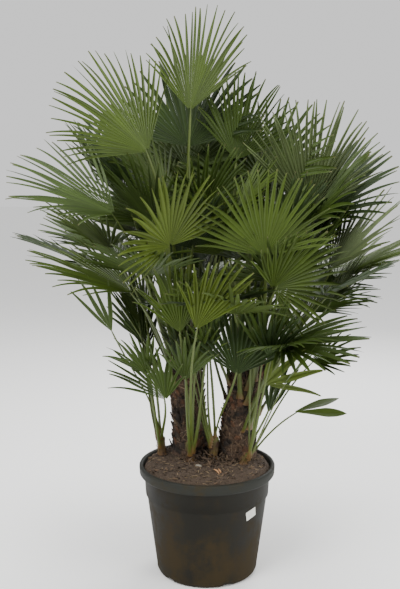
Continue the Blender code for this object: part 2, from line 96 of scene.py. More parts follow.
# %% A material and its nodes
class Shader:
    """A Principled material whose nodes all come from one method."""

    def __init__(self, name):
        self.material = bpy.data.materials.new(name)
        self.material.use_nodes = True
        self.nodes, self.links = self.material.node_tree.nodes, self.material.node_tree.links
        self.surface = self.nodes["Principled BSDF"]

    def put(self, socket, value):
        """Links a value to a socket, or sets a number, a vector or a colour on it."""
        if isinstance(value, Value):
            self.links.new(value.socket, socket)
        elif socket.type == "RGBA":
            socket.default_value = (*value, 1.0)
        else:
            socket.default_value = value

    def node(self, kind, settings, sockets, output=0):
        """Adds a node: its settings first, then its sockets by number or by name."""
        made = self.nodes.new(kind)
        for key, value in settings.items():
            setattr(made, key, value)
        for key, value in sockets.items():
            self.put(made.inputs[key], value)
        return Value(self, made.outputs[output])

    def place(self):
        """Metres on the object, so that a pattern keeps its real size."""
        return self.node("ShaderNodeTexCoord", {}, {}, output="Object")

    def tone(self):
        """The plain colour dealt out to each leaf, strand or crumb."""
        return self.node("ShaderNodeAttribute", {"attribute_name": "tone"}, {}, output="Color")

    def axes(self, vector):
        """The vector's X, whose siblings are Y and Z."""
        return self.node("ShaderNodeSeparateXYZ", {}, {0: vector})

    def noise(self, vector, scale, detail=4.0, rough=0.55):
        """Cloudy noise about one half. A higher scale makes it finer, and detail adds layers."""
        sockets = {"Scale": scale, "Detail": detail, "Roughness": rough, "Vector": vector}
        return self.node("ShaderNodeTexNoise", {}, sockets)

    def stretched(self, vector, x, y, z):
        """The vector times a scale for each axis: the smallest scale gives the longest streaks."""
        return self.node("ShaderNodeVectorMath", {"operation": "MULTIPLY"}, {0: vector, 1: (x, y, z)})

    def ramp(self, value, low, high):
        """0 below low and 1 above high, with a smooth step between them."""
        settings = {"interpolation_type": "SMOOTHSTEP"}
        return self.node("ShaderNodeMapRange", settings, {0: value, 1: low, 2: high, 3: 0.0, 4: 1.0})

    def mix(self, factor, first, second):
        """The first colour where the factor is 0 and the second where it is 1."""
        sockets = {0: factor, 6: first, 7: second}
        return self.node("ShaderNodeMix", {"data_type": "RGBA"}, sockets, output=2)

    def tinted(self, color, factor):
        """A colour times a number, by Vector Math, which keeps its hue."""
        return self.node("ShaderNodeVectorMath", {"operation": "SCALE"}, {0: color, "Scale": factor})

    def bump(self, height, strength, distance):
        """A normal that leans with the slope of a height. Distance is the height of 1, in metres."""
        return self.node("ShaderNodeBump", {}, {"Strength": strength, "Distance": distance, "Height": height})

    def finish(self, **sockets):
        """Fills the Principled shader's sockets, named with _ for each space."""
        for key, value in sockets.items():
            self.put(self.surface.inputs[key.replace("_", " ")], value)
        return self.material


print("a shader makes", [name for name in vars(Shader) if not name.startswith("__")])

# %% [markdown]
# Grids that become a mesh
#
# A palm is thousands of strips, tubes and chips. Modelling them one by one, or as one object each, would be
# slow. Each of them is a grid of points, so numpy can work out a whole family at once as one array, and a
# Patchwork joins such families into one object.

# %% Patchwork
class Patchwork:
    """Grids of points joined into one mesh, with a tone and a UV for each point."""

    def __init__(self):
        self.points, self.quads, self.tones, self.uvs, self.slots = [], [], [], [], []
        self.count = 0

    def grids(self, points, tone, uv=None, wrap=False, slot=0):
        """points has the shape (grids, rows, columns, 3). wrap joins the last column to the first."""
        points = np.asarray(points, float)
        many, rows, columns = points.shape[:3]
        size = many * rows * columns
        number = self.count + np.arange(size).reshape(many, rows, columns)
        if wrap:
            number = np.concatenate([number, number[:, :, :1]], 2)
        low, high = number[:, :-1], number[:, 1:]
        corners = (low[..., :-1], low[..., 1:], high[..., 1:], high[..., :-1])
        uv = np.zeros((size, 2)) if uv is None else np.asarray(uv, float).reshape(-1, 2)
        self.points.append(points.reshape(-1, 3))
        self.tones.append(np.broadcast_to(np.asarray(tone, float), points.shape).reshape(-1, 3))
        self.uvs.append(uv)
        self.quads.append(np.stack([c.reshape(-1) for c in corners], -1))
        self.slots.append(np.full(len(self.quads[-1]), slot))
        self.count += size

    def piece(self, name, materials, smooth=True):
        """Writes the gathered arrays into a new object, whose faces are all quads."""
        points, quads = np.concatenate(self.points), np.concatenate(self.quads)
        tones, uvs = np.concatenate(self.tones), np.concatenate(self.uvs)
        mesh = bpy.data.meshes.new(name)
        mesh.vertices.add(len(points))
        mesh.vertices.foreach_set("co", points.ravel())
        mesh.loops.add(quads.size)
        mesh.loops.foreach_set("vertex_index", quads.ravel().astype(np.int32))
        mesh.polygons.add(len(quads))
        mesh.polygons.foreach_set("loop_start", np.arange(0, quads.size, 4, dtype=np.int32))
        mesh.polygons.foreach_set("material_index", np.concatenate(self.slots).astype(np.int32))
        mesh.update(calc_edges=True)
        layer = mesh.uv_layers.new(name="UVMap")
        layer.data.foreach_set("uv", uvs[quads.ravel()].ravel())
        color = mesh.color_attributes.new("tone", "FLOAT_COLOR", "POINT")
        color.data.foreach_set("color", np.column_stack([tones, np.ones(len(tones))]).ravel())
        mesh.polygons.foreach_set("use_smooth", np.full(len(quads), smooth))
        mesh.validate()
        for skin in materials:
            mesh.materials.append(skin)
        obj = bpy.data.objects.new(name, mesh)
        bpy.context.scene.collection.objects.link(obj)
        return obj


def faces_of(pieces):
    """The sum of the faces of several pieces."""
    return sum(len(piece.data.polygons) for piece in pieces)


print("a patchwork gathers", list(vars(Patchwork())))

# %% Directions
UP = np.array([0.0, 0.0, 1.0])
GOLDEN_ANGLE = 137.508


def unit(vector):
    """Each vector divided by its own length."""
    vector = np.asarray(vector, float)
    return vector / np.linalg.norm(vector, axis=-1, keepdims=True)


def direction(azimuth, elevation):
    """Unit vector at that azimuth and elevation, both in degrees."""
    a, e = math.radians(azimuth), math.radians(elevation)
    return np.array([math.cos(a) * math.cos(e), math.sin(a) * math.cos(e), math.sin(e)])


def around(turn):
    """Level unit vectors at turns in radians: cosine, sine and no height."""
    return np.stack([np.cos(turn), np.sin(turn), np.zeros_like(turn)], -1)


print("straight up", direction(0.0, 90.0).round(3))

# %% [markdown]
# Stems
#
# A trunk or a shoot leans, bends a little, flares at the soil and closes at its top. One curve for the
# middle line and one formula for the radius describe all six. The sizes are those of the CAD source, so
# that what is built on them meets the solids.

# %% Six stems
SOIL_TOP, GAP = 0.455, 0.0003
FLARE_SHARE, CLOSE_SHARE = 0.22, 0.20
Stem = namedtuple("Stem", "foot bend top foot_radius waist_radius top_radius")
STEMS = {
    "trunk_left": Stem((-0.070, 0.104), (-0.078, 0.100), (-0.096, 0.092, 0.960), 0.082, 0.067, 0.050),
    "trunk_right": Stem((0.120, 0.070), (0.134, 0.066), (0.186, 0.060, 0.860), 0.088, 0.070, 0.050),
    "sucker_left": Stem((-0.186, 0.070), (-0.189, 0.070), (-0.192, 0.069, 0.530), 0.020, 0.016, 0.012),
    "sucker_front": Stem((-0.066, -0.008), (-0.067, -0.011), (-0.068, -0.018, 0.535), 0.023, 0.018, 0.014),
    "sucker_middle": Stem((0.024, 0.010), (0.027, 0.008), (0.032, 0.002, 0.550), 0.021, 0.017, 0.013),
    "sucker_right": Stem((0.146, -0.048), (0.152, -0.051), (0.166, -0.058, 0.505), 0.020, 0.015, 0.012),
}


def stem_axis(stem, share):
    """Points of the middle line at shares of its height: a quadratic curve through foot, bend and top."""
    share = np.asarray(share, float)[..., None]
    foot, top = np.array([*stem.foot, SOIL_TOP + GAP]), np.array(stem.top)
    bend = np.array([*stem.bend, (foot[2] + top[2]) / 2])
    return (1 - share) ** 2 * foot + 2 * share * (1 - share) * bend + share**2 * top


def stem_radius(stem, share):
    """The waist radius, plus a flare that falls off with a square, minus a closing that grows with one."""
    share = np.asarray(share, float)
    flare = (stem.foot_radius - stem.waist_radius) * np.maximum(0.0, 1 - share / FLARE_SHARE) ** 2
    rise = np.maximum(0.0, (share - (1.0 - CLOSE_SHARE)) / CLOSE_SHARE)
    return stem.waist_radius + flare - (stem.waist_radius - stem.top_radius) * rise**2


print("waists", [float(stem_radius(stem, 0.5).round(3)) for stem in STEMS.values()])

# %% [markdown]
# A list of fronds
#
# Every frond is a stalk from its stem to a hub and a fan round the hub. The fronds that the viewer can tell
# apart are listed, with the CAD source's numbers. The rest of the crown follows the rule of real
# palms: each new leaf is turned by the golden angle, and older leaves lean out further. A rule keeps the
# list short and gives a crown that is full from every side.

# %% Fronds that show
Frond = namedtuple("Frond", "name stem hub aim face radius spread cup leaflets stalk tone")
STALK, SLIM = 0.011, 0.007
SEEN = {
    "trunk_left": [
        ("crown_top", (-0.067, 0.000, 1.845), (-7, 81), (-131, 5), 0.44, 55, 0.18, 15, STALK, "fresh"),
        ("upper_left", (-0.223, -0.100, 1.687), (-162, 50), (-57, 9), 0.45, 58, 0.29, 16, STALK, "fresh"),
        ("far_left", (-0.345, -0.150, 1.458), (-164, 27), (-45, 52), 0.45, 62, 0.58, 14, STALK, "green"),
        ("front_left", (-0.134, -0.350, 1.355), (-97, 57), (-39, -19), 0.32, 100, 0.16, 15, STALK, "bright"),
        ("low_left", (-0.285, -0.100, 1.154), (-173, 27), (-24, 61), 0.45, 60, 0.35, 14, STALK, "fresh"),
    ],
    "trunk_right": [
        ("upper_middle", (0.115, 0.100, 1.661), (-20, 78), (-60, -10), 0.38, 60, 0.22, 14, STALK, "green"),
        ("upper_right", (0.401, 0.060, 1.452), (30, 80), (106, -6), 0.50, 56, 0.10, 17, STALK, "grey"),
        ("far_right", (0.488, 0.000, 1.231), (6, 57), (-160, 33), 0.42, 58, 0.20, 13, STALK, "grey"),
        ("lower_right", (0.490, 0.040, 1.093), (8, 52), (-165, 36), 0.27, 46, 0.30, 10, STALK, "grey"),
        ("front_right", (0.204, -0.300, 1.315), (-128, 86), (-102, -3), 0.34, 78, 0.30, 15, STALK, "fresh"),
        ("middle_right", (0.238, -0.250, 1.193), (1, 30), (-69, -31), 0.32, 98, 0.18, 14, STALK, "fresh"),
        ("right_side", (0.290, -0.120, 0.962), (-7, 12), (-129, 68), 0.34, 104, 0.20, 13, STALK, "green"),
        ("right_young", (0.222, -0.105, 0.795), (-35, 31), (-100, -25), 0.27, 50, 0.10, 4, SLIM, "bright"),
    ],
    "sucker_left": [
        ("sucker_left_1", (-0.368, -0.100, 1.002), (-150, 64), (-110, -20), 0.28, 30, 0.2, 4, SLIM, "green"),
        ("sucker_left_2", (-0.162, -0.085, 0.728), (-150, 62), (-115, -24), 0.31, 56, 0.3, 8, SLIM, "green"),
    ],
    "sucker_front": [
        ("sucker_front_1", (-0.043, -0.350, 1.056), (-40, 60), (-70, -25), 0.33, 40, 0.13, 7, SLIM, "bright"),
        ("sucker_front_2", (-0.102, -0.250, 1.026), (-120, 76), (-87, -12), 0.30, 42, 0.19, 8, SLIM, "fresh"),
    ],
    "sucker_middle": [
        # Its tone deep is painted shade: this fan lies in the shade in the middle of the crown.
        ("sucker_middle_1", (0.111, -0.170, 0.850), (-60, 82), (-95, 0), 0.33, 60, 0.2, 10, SLIM, "deep"),
    ],
    "sucker_right": [
        # Its tone deep is painted shade: this fan lies in the shade inside the crown.
        ("sucker_right_1", (0.246, 0.000, 0.650), (20, 74), (-88, 12), 0.28, 26, 0.2, 4, SLIM, "deep"),
        ("sucker_right_2", (0.347, -0.030, 0.663), (8, 8), (-98, 63), 0.235, 26, 0.1, 2, SLIM, "fresh"),
        ("sucker_right_3", (0.420, 0.030, 0.858), (-18, 24), (-136, 50), 0.22, 56, 0.2, 7, SLIM, "green"),
    ],
}
SEEN_FRONDS = [Frond("frond_" + row[0], stem, *row[1:]) for stem, rows in SEEN.items() for row in rows]
print("seen fronds", len(SEEN_FRONDS))

# %% Rules that fill the crown
Filling = namedtuple(
    "Filling", "stem count first_azimuth sector_start sector least_lean most_lean reach seed"
)
FILLINGS = [
    Filling("trunk_left", 15, 20.0, 50.0, 120.0, 6.0, 62.0, (0.72, 0.44), 120),
    Filling("trunk_right", 15, 60.0, 5.0, 120.0, 6.0, 62.0, (0.70, 0.42), 113),
]
INNER_FILLINGS = [
    Filling("trunk_left", 16, 170.0, 0.0, 360.0, 10.0, 62.0, (0.56, 0.30), 31),
    Filling("trunk_right", 16, 40.0, 0.0, 360.0, 10.0, 62.0, (0.52, 0.28), 47),
    Filling("sucker_front", 6, 20.0, 190.0, 160.0, 4.0, 24.0, (0.50, 0.34), 5),
    Filling("sucker_middle", 5, 30.0, 200.0, 140.0, 4.0, 22.0, (0.46, 0.32), 8),
    Filling("sucker_left", 5, 40.0, 120.0, 150.0, 6.0, 26.0, (0.50, 0.34), 12),
    Filling("sucker_right", 4, 10.0, 260.0, 120.0, 6.0, 28.0, (0.48, 0.34), 20),
]
print("rules", len(FILLINGS + INNER_FILLINGS))

# %% Fronds that fill the crown
TOP_AIM, AIM_FALL, TOP_FACE, FACE_RISE = 82.0, 1.05, 30.0, 0.5
LARGEST, SHRINKING, LARGEST_AGE = 0.44, 0.06, 0.4
FILLING_FAN = {"spread": 80, "cup": 0.2, "leaflets": 13, "stalk": STALK, "tone": None}


def filling_fronds(fillings, part=""):
    """Frond k is turned by k golden angles within its sector, and its lean grows evenly with k.

    Its blade tips forward and faces the stem the more it leans. Fans at two fifths of the age are largest.
    """
    fronds = []
    for rule in fillings:
        draw = random.Random(rule.seed)
        top = np.array(STEMS[rule.stem].top)
        for k in range(rule.count):
            age = k / (rule.count - 1)
            turn = (rule.first_azimuth + k * GOLDEN_ANGLE) % rule.sector
            azimuth = rule.sector_start + turn + draw.uniform(-6, 6)
            lean = rule.least_lean + (rule.most_lean - rule.least_lean) * age + draw.uniform(-3, 3)
            reach = rule.reach[0] + (rule.reach[1] - rule.reach[0]) * age + draw.uniform(-0.04, 0.04)
            hub = top + reach * direction(azimuth, 90.0 - lean)
            aim = (azimuth + draw.uniform(-14, 14), TOP_AIM - AIM_FALL * lean)
            face = (azimuth + 180.0 + draw.uniform(-25, 25), TOP_FACE + FACE_RISE * lean)
            radius = LARGEST - SHRINKING * abs(age - LARGEST_AGE) + draw.uniform(-0.03, 0.02)
            name = f"frond_{part}{rule.stem.removeprefix('trunk_')}_{k + 1:02d}"
            fronds.append(Frond(name, rule.stem, tuple(hub), aim, face, radius, **FILLING_FAN))
    return fronds


FRONDS = SEEN_FRONDS + filling_fronds(FILLINGS)
print("fronds of the CAD model", len(FRONDS))

# %% Smaller fronds inside the crown
INNER_SIZE, SHOOT_SIZE, SHOOT_SPREAD, SHOOT_LEAFLETS = 0.78, 0.62, 38, 6


def smaller(frond):
    """The same frond with a smaller fan, which is also narrow and on a slim stalk where a shoot bears it."""
    if frond.stem.startswith("trunk"):
        return frond._replace(radius=INNER_SIZE * frond.radius)
    narrow = frond._replace(spread=SHOOT_SPREAD, leaflets=SHOOT_LEAFLETS, stalk=SLIM)
    return narrow._replace(radius=SHOOT_SIZE * frond.radius)


INNER_FRONDS = [smaller(frond) for frond in filling_fronds(INNER_FILLINGS, "inner_")]
print("fronds inside the crown", len(INNER_FRONDS))

# %% [markdown]
# Where a stalk leaves its stem
#
# The youngest leaves of a palm rise from the growing point, and older ones leave the stem lower down. So
# the most upright fronds are seated on the top, and each further one a step lower, at the azimuth that it
# reaches out to. This is the CAD source's rule, which keeps 51 stalks apart.

# %% Seats
FIRST_DROP = {"trunk": 0.014, "sucker": 0.008}
STEP = {"trunk": 0.0145, "sucker": 0.011}
TOP_SEATS = {"trunk": 3, "sucker": 1}
TOP_SPACING = {"trunk": 0.62, "sucker": 0.0}


def seat_places(fronds):
    """{name: (point on the stem, outward normal)}, by rank of lean among the fronds of each stem."""
    found = {}
    for stem_name, stem in STEMS.items():
        kind, top = stem_name.split("_")[0], np.array(stem.top)
        offsets = {f.name: np.array(f.hub) - top for f in fronds if f.stem == stem_name}
        ranked = sorted(offsets, key=lambda n: math.atan2(math.hypot(*offsets[n][:2]), offsets[n][2]))
        for rank, name in enumerate(ranked):
            below = rank - TOP_SEATS[kind]
            if below < 0:
                out = direction(90.0 + 360.0 * rank / TOP_SEATS[kind], 0.0)
                found[name] = (top + out * (TOP_SPACING[kind] * stem.top_radius), UP)
                continue
            drop = FIRST_DROP[kind] + STEP[kind] * below
            share = 1.0 - drop / (stem.top[2] - SOIL_TOP - GAP)
            azimuth = math.degrees(math.atan2(offsets[name][1], offsets[name][0]))
            out = direction(azimuth, 0.0)
            found[name] = (stem_axis(stem, share) + out * stem_radius(stem, share), out)
    return found


SEATS = {**seat_places(INNER_FRONDS), **seat_places(FRONDS)}
print("seats", len(SEATS))

# %% [markdown]
# The fan
#
# A palm fan is one pleated sheet that is torn along its folds from the rim inwards. A cloth simulation or a
# cut texture could imitate it, but a strip for each leaflet is simpler and stays sharp. A strip has four
# columns: its left edge, the rib twice, and its right edge. The rib lies low, which folds the strip. Up to
# the notch the strips touch along shared rays. Beyond it each strip narrows, and near its end the two
# halves part into a forked tip. Young fans with few leaflets have broader ones with a single tip.

# %% The blade's surface
OUTER_SHARE, SAG = 0.74, 0.05


def blade_axes(frond):
    """(along, across, upper) of a blade: its aim, the side, and the face turned square to the aim."""
    along, upper = direction(*frond.aim), direction(*frond.face)
    upper = unit(upper - (upper @ along) * along)
    return along, np.cross(along, upper), upper


def blade_points(frond, angle, distance):
    """A flat fan, lifted by the cup times one minus the cosine, and sagging with the distance squared."""
    along, across, upper = blade_axes(frond)
    angle, distance = angle[..., None], distance[..., None]
    flat = distance * (np.cos(angle) * along + np.sin(angle) * across)
    lift = frond.cup * distance * (1.0 - np.cos(angle)) * upper
    return np.array(frond.hub) + flat + lift - SAG * distance**2 / frond.radius * UP


print("axes of the first blade", [axis.round(2).tolist() for axis in blade_axes(FRONDS[0])])

# %% Widths of leaflets
STATIONS = np.concatenate([np.linspace(0.03, 0.86, 12), [0.90, 0.94, 0.97, 1.0]])
Cut = namedtuple("Cut", "finer notch taper fold forked")
FINE_CUT, YOUNG_CUT = Cut(1.7, 0.43, 1.7, 0.80, 1.0), Cut(1.0, 0.30, 1.9, 0.22, 0.0)
PAIR, PAIR_WIDTH, PAIR_WIDEST, TIP_NARROWING = 2, 0.125, 0.62, 0.72


def leaflet_width(frond, cut, reach, notch, free, half):
    """Half widths: the fan's own up to the notch, then less by a power of the free share.

    A pair of leaflets is broader: its width grows to its widest place, and closes with the fourth power.
    """
    share = STATIONS[None, :]
    if frond.leaflets == PAIR:
        grown = np.minimum(1.0, share / PAIR_WIDEST) ** 0.9
        return PAIR_WIDTH * reach * grown * (1.0 - free**4)
    return reach * np.minimum(share, notch) * math.tan(half) * (1.0 - TIP_NARROWING * free**cut.taper)


print("stations of a leaflet", len(STATIONS))

# %% Fold and forked tip
FORK_START, CLOSED_TIP = 0.88, 0.999


def fold_and_fork(centre, edge, width, cut, upper):
    """The four columns: both edges at the width, and the rib below them, parting in a forked tip."""
    share = STATIONS[None, :, None]
    part = np.clip((share - FORK_START) / (1.0 - FORK_START), 0.0, 1.0) * cut.forked
    closed = CLOSED_TIP * (1.0 - cut.forked) * (share >= 1.0)
    rib = centre - cut.fold * width * upper * (1.0 - part)
    gap = edge * width * part
    reach = edge * width * (1.0 - closed)
    return np.stack([centre - reach, rib - gap, rib + gap, centre + reach], 2)


print("stations of the forked tip", int(np.sum(STATIONS > FORK_START)))

# %% A whole fan
YOUNG_LEAFLETS = 5
TURN_SPREAD, TWIST_SPREAD, LIFT_SPREAD = math.radians(1.6), 0.35, 0.012
DROOP, DROOP_START, DROOP_SCALE = 0.10, 0.62, 4.0


def fan(frond, draw):
    """(points, uv) of a fan's leaflets, as grids of stations by four columns.

    Each leaflet follows the blade's surface at its own angle, which drifts beyond the notch. There it also
    twists, lifts and droops by its own random share. Outer leaflets are shorter by the angle squared.
    """
    along, across, upper = blade_axes(frond)
    cut = YOUNG_CUT if frond.leaflets <= YOUNG_LEAFLETS else FINE_CUT
    count = round(cut.finer * frond.leaflets)
    spread = math.radians(frond.spread)
    rays = np.linspace(-spread, spread, count + 1)
    middle, half = (rays[:-1] + rays[1:]) / 2, spread / count
    share = STATIONS[None, :]
    reach = frond.radius * (1.0 - (1.0 - OUTER_SHARE) * (middle / spread) ** 2)
    reach = (reach * draw.uniform(0.96, 1.0, count))[:, None]
    notch = cut.notch * draw.uniform(0.92, 1.18, count)[:, None]
    free = np.clip((share - notch) / (1.0 - notch), 0.0, 1.0)
    turn = middle[:, None] + free * draw.normal(0.0, TURN_SPREAD, (count, 1))
    centre = blade_points(frond, turn, reach * share)
    width = leaflet_width(frond, cut, reach, notch, free, half)[..., None]
    side = -np.sin(turn)[..., None] * along + np.cos(turn)[..., None] * across
    twist = (free * draw.normal(0.0, TWIST_SPREAD, (count, 1)))[..., None]
    edge = side * np.cos(twist) + upper * np.sin(twist)
    hang = np.maximum(0.0, share - DROOP_START) ** 2 * reach * DROOP_SCALE
    droop = draw.uniform(0.0, DROOP, (count, 1)) * hang
    lift = free * draw.normal(0.0, LIFT_SPREAD, (count, 1))
    centre = centre - droop[..., None] * UP + upper * lift[..., None]
    points = fold_and_fork(centre, edge, width, cut, upper)
    uv = np.empty((*points.shape[:3], 2))
    uv[..., 0] = (0.0, 0.5, 0.5, 1.0)
    uv[..., 1] = STATIONS[None, :, None]
    return points, uv


print("leaflets of the first fan", len(fan(FRONDS[0], np.random.default_rng(0))[0]))

# %% [markdown]
# Stalks
#
# A stalk leaves the stem upwards, bows, and runs on into its blade, so a cubic curve from seat to hub suits
# it. Above it is flat and below it is rounded, and small teeth stand along its edges. In the CAD
# model some stalks bend aside to clear a neighbour. The frame doesn't say which, so the script tries each
# bend that the source allows and keeps the one that lies nearest to the solid's corners.

# %% A stalk's middle line
HANDLE, INTO_BLADE, FIRST_SWAY_SHARE = 0.34, 0.02, 0.6
LEAVE_STRAIGHT, LEAVE_UP, LEAVE_OUT = 0.55, 0.45, 0.25
ARRIVE_STRAIGHT, ARRIVE_ALONG = 0.65, 0.35


def stalk_line(frond, count, sway):
    """Points, tangents and shares of a cubic curve from the seat to just past the hub.

    It leaves along a mean of the straight way, up, and the seat's normal, and arrives along a mean of the
    straight way and the blade. sway moves its handles to the side, and square to both the side and the
    straight way.
    """
    hub, (seat, normal) = np.array(frond.hub), SEATS[frond.name]
    along = blade_axes(frond)[0]
    span = hub - seat
    length = np.linalg.norm(span)
    leave = unit(LEAVE_STRAIGHT * unit(span) + LEAVE_UP * UP + LEAVE_OUT * normal)
    arrive = unit(ARRIVE_STRAIGHT * unit(span) + ARRIVE_ALONG * along)
    side = unit(np.cross(span, UP))
    aside = sway[0] * side + sway[1] * unit(np.cross(side, span))
    first_handle = seat + leave * HANDLE * length + FIRST_SWAY_SHARE * aside
    last_handle = hub - arrive * HANDLE * length + aside
    t = np.linspace(0.0, 1.0, count)[:, None]
    points = (1 - t) ** 3 * seat + 3 * (1 - t) ** 2 * t * first_handle
    points = points + 3 * (1 - t) * t**2 * last_handle + t**3 * (hub + along * INTO_BLADE)
    return points, unit(np.gradient(points, axis=0)), t


print("a curve's handles reach", HANDLE, "of the way")

# %% Bends
SOLID_STATIONS, COMPARED_STATIONS = 7, slice(1, 5)
SWAYS = [
    (side, lift)
    for lift in (0.0, 0.03, -0.03, 0.06)
    for side in (0.0, 0.03, -0.03, 0.06, -0.06, 0.1, -0.1)
]


def find_sway(frond):
    """The sway whose curve has its points nearest to the corners of the CAD frond's stalk rings."""
    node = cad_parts[frond.name]
    corners = np.array([node.matrix_world @ v.co for v in node.data.vertices])

    def miss(sway):
        """The sum of the distances from the inner stations to their nearest corners."""
        line = stalk_line(frond, SOLID_STATIONS, sway)[0][COMPARED_STATIONS]
        return np.linalg.norm(line[:, None] - corners, axis=2).min(1).sum()

    return min(SWAYS, key=miss)


STRAIGHT = SWAYS[0]
SWAY_OF = {frond.name: find_sway(frond) for frond in FRONDS}
print("stalks that bend aside", sum(sway != STRAIGHT for sway in SWAY_OF.values()))

# %% A stalk's skin
STALK_ROWS, STALK_SIDES = 22, 10
FOOT_SHARE, TIP_SHARE = 0.10, 0.05
FLAT_TOP, ROUND_BELOW = 0.35, 0.75
END_WIDTH, FOOT_FLARE, TIP_CLOSING = 0.95, 1.6, 0.75


def stalk(frond):
    """(skin, t, middle line, side, half width) of a stalk.

    Its half width falls evenly from 1.95 to 0.95 times its nominal one, is wider still at the foot, and
    closes at the tip. Its rings turn from the stem's side to the blade's.
    """
    points, tangent, t = stalk_line(frond, STALK_ROWS, SWAY_OF.get(frond.name, STRAIGHT))
    across = blade_axes(frond)[1]
    foot_side = unit(np.cross(SEATS[frond.name][1], UP + 0.01 * across))
    foot_side = foot_side if foot_side @ across > 0 else -foot_side
    side = (1 - t) * foot_side + t * across
    side = unit(side - np.sum(side * tangent, 1, keepdims=True) * tangent)
    top = np.cross(side, tangent)
    flare = FOOT_FLARE * np.maximum(0.0, 1 - t / FOOT_SHARE) ** 2
    width = frond.stalk / 2 * ((1 - t) + END_WIDTH + flare)
    width = width * (1.0 - TIP_CLOSING * np.maximum(0.0, (t - (1.0 - TIP_SHARE)) / TIP_SHARE))
    turns = np.linspace(0.0, 2.0 * math.pi, STALK_SIDES, endpoint=False)[None, :, None]
    depth = np.where(np.sin(turns) > 0, FLAT_TOP, ROUND_BELOW)
    ring = np.cos(turns) * side[:, None] + np.sin(turns) * depth * top[:, None]
    return points[:, None] + width[:, None] * ring, t, points, side, width


print("points of a stalk", stalk(FRONDS[0])[0].shape)

# %% Teeth
TOOTH_ROWS = np.repeat(np.arange(2, 19), 2)
TOOTH_ROOT, TOOTH_RAKE, TOOTH_BASE, TOOTH_TIP = 0.92, 0.8, 0.25, 0.0003


def teeth(frond, draw, points, side, width):
    """One quad for each tooth: its root lies on the stalk's edge, and its tip stands out and forward."""
    rows = TOOTH_ROWS
    way = np.where(np.arange(len(rows)) % 2, 1.0, -1.0)[:, None]
    place = points[rows] + (points[rows + 1] - points[rows]) * draw.uniform(0, 1, (len(rows), 1))
    root = place + way * side[rows] * width[rows] * TOOTH_ROOT
    ahead = unit(points[rows + 1] - points[rows])
    size = frond.stalk * draw.uniform(0.30, 0.62, (len(rows), 1))
    tip = root + way * side[rows] * size + ahead * size * TOOTH_RAKE
    low = np.stack([root - ahead * size * TOOTH_BASE, root + ahead * size * TOOTH_BASE], 1)
    return np.stack([low, np.stack([tip, tip + ahead * TOOTH_TIP], 1)], 1)


print("teeth of a stalk", len(TOOTH_ROWS))

# %% [markdown]
# Green
#
# Fans differ in colour by age and by the side they show: new ones are yellow-green, and undersides are grey.
# The tone deep, a darker green, paints the shade of fans inside the crown. Painting them would need an image
# for each. A plain tone is dealt out to each fan instead, a little varied by leaflet, and the shader adds
# what
# is fine: veins, a paler rib, and a dry tip.

# %% Leaf material
TONES = {
    "bright": (0.062, 0.092, 0.005),
    "fresh": (0.041, 0.068, 0.004),
    "green": (0.030, 0.054, 0.004),
    # deep is painted shade: a darker green for fans that lie in the shade inside the crown
    "deep": (0.014, 0.030, 0.003),
    "grey": (0.066, 0.090, 0.030),
}
# One filling fan in four gets deep, the tone of painted shade.
FILLING_TONES = ("green", "deep", "green", "fresh")
STALK_TONE, FOOT_TONE = np.array((0.060, 0.085, 0.010)), np.array((0.110, 0.052, 0.014))
RIB_GREEN, DRY_TIP = (0.060, 0.085, 0.014), (0.090, 0.075, 0.030)


def leaf_material():
    """The tone, mottled and veined along the leaflet, paler at the rib and brown at the very tip."""
    s = Shader("palm_leaf")
    uv = s.node("ShaderNodeTexCoord", {}, {}, output="UV")
    across = s.axes(uv)
    along = across.sibling("Y")
    patches = s.noise(s.place(), 9.0)
    veins = s.noise(s.stretched(uv, 26.0, 0.8, 1.0), 1.0, detail=2.0)
    rib = 1.0 - s.ramp((across - 0.5).math("ABSOLUTE", 0.0), 0.02, 0.12)
    green = s.mix(rib * 0.35, s.tinted(s.tone(), 0.62 + 0.5 * patches + 0.34 * veins), RIB_GREEN)
    dry = s.ramp(along + 0.10 * s.noise(s.place(), 30.0), 1.0, 1.06)
    return s.finish(
        Base_Color=s.mix(dry * 0.6, green, DRY_TIP),
        Roughness=0.48 + 0.20 * patches,
        Specular_IOR_Level=0.32,
        Normal=s.bump(veins * 0.5 + 0.5 * (1.0 - rib), 0.35, 0.0015),
    )


LEAF = leaf_material()
print("material", LEAF.name)


# %% Stalk material
def stalk_material():
    """The tone with long streaks, on a waxy surface."""
    s = Shader("palm_stalk")
    streaks = s.noise(s.stretched(s.place(), 60.0, 60.0, 5.0), 1.0)
    return s.finish(
        Base_Color=s.tinted(s.tone(), 0.70 + 0.6 * streaks),
        Roughness=0.40 + 0.2 * streaks,
        Normal=s.bump(streaks, 0.3, 0.001),
    )


STALK_SKIN = stalk_material()
print("material", STALK_SKIN.name)

# %% Every frond
FROND_SEED = 500


def build_frond(frond, number):
    """One piece of blade, stalk and teeth, which replaces the CAD frond of the same name if there is one."""
    draw = np.random.default_rng(FROND_SEED + number)
    work = Patchwork()
    tone = np.array(TONES[frond.tone or FILLING_TONES[number % len(FILLING_TONES)]])
    points, uv = fan(frond, draw)
    work.grids(points, draw.uniform(0.78, 1.18, (len(points), 1, 1, 1)) * tone, uv)
    skin, t, line, side, width = stalk(frond)
    foot = np.clip(1 - t / FOOT_SHARE, 0, 1)[:, None]
    work.grids(skin[None], (STALK_TONE * (1 - foot) + FOOT_TONE * foot)[None], wrap=True, slot=1)
    work.grids(teeth(frond, draw, line, side, width), STALK_TONE * 1.1, slot=1)
    piece = work.piece(frond.name + "_leaf", [LEAF, STALK_SKIN])
    if frond.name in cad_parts:
        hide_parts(frond.name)
    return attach(piece, "root")


fronds = [build_frond(frond, number) for number, frond in enumerate(FRONDS + INNER_FRONDS)]
print("frond faces", faces_of(fronds))

# %% [markdown]
# Trunks
#
# A fan palm's trunk has no bark. It is wrapped in brown fibre, and the stubs of old leaf bases stand out of
# it in a spiral. A displaced tube alone would look like a cork, so three families lie over each other: the
# tube with its rough rings, six-sided wedges at golden-angle turns, and thin strands that cross between
# them.

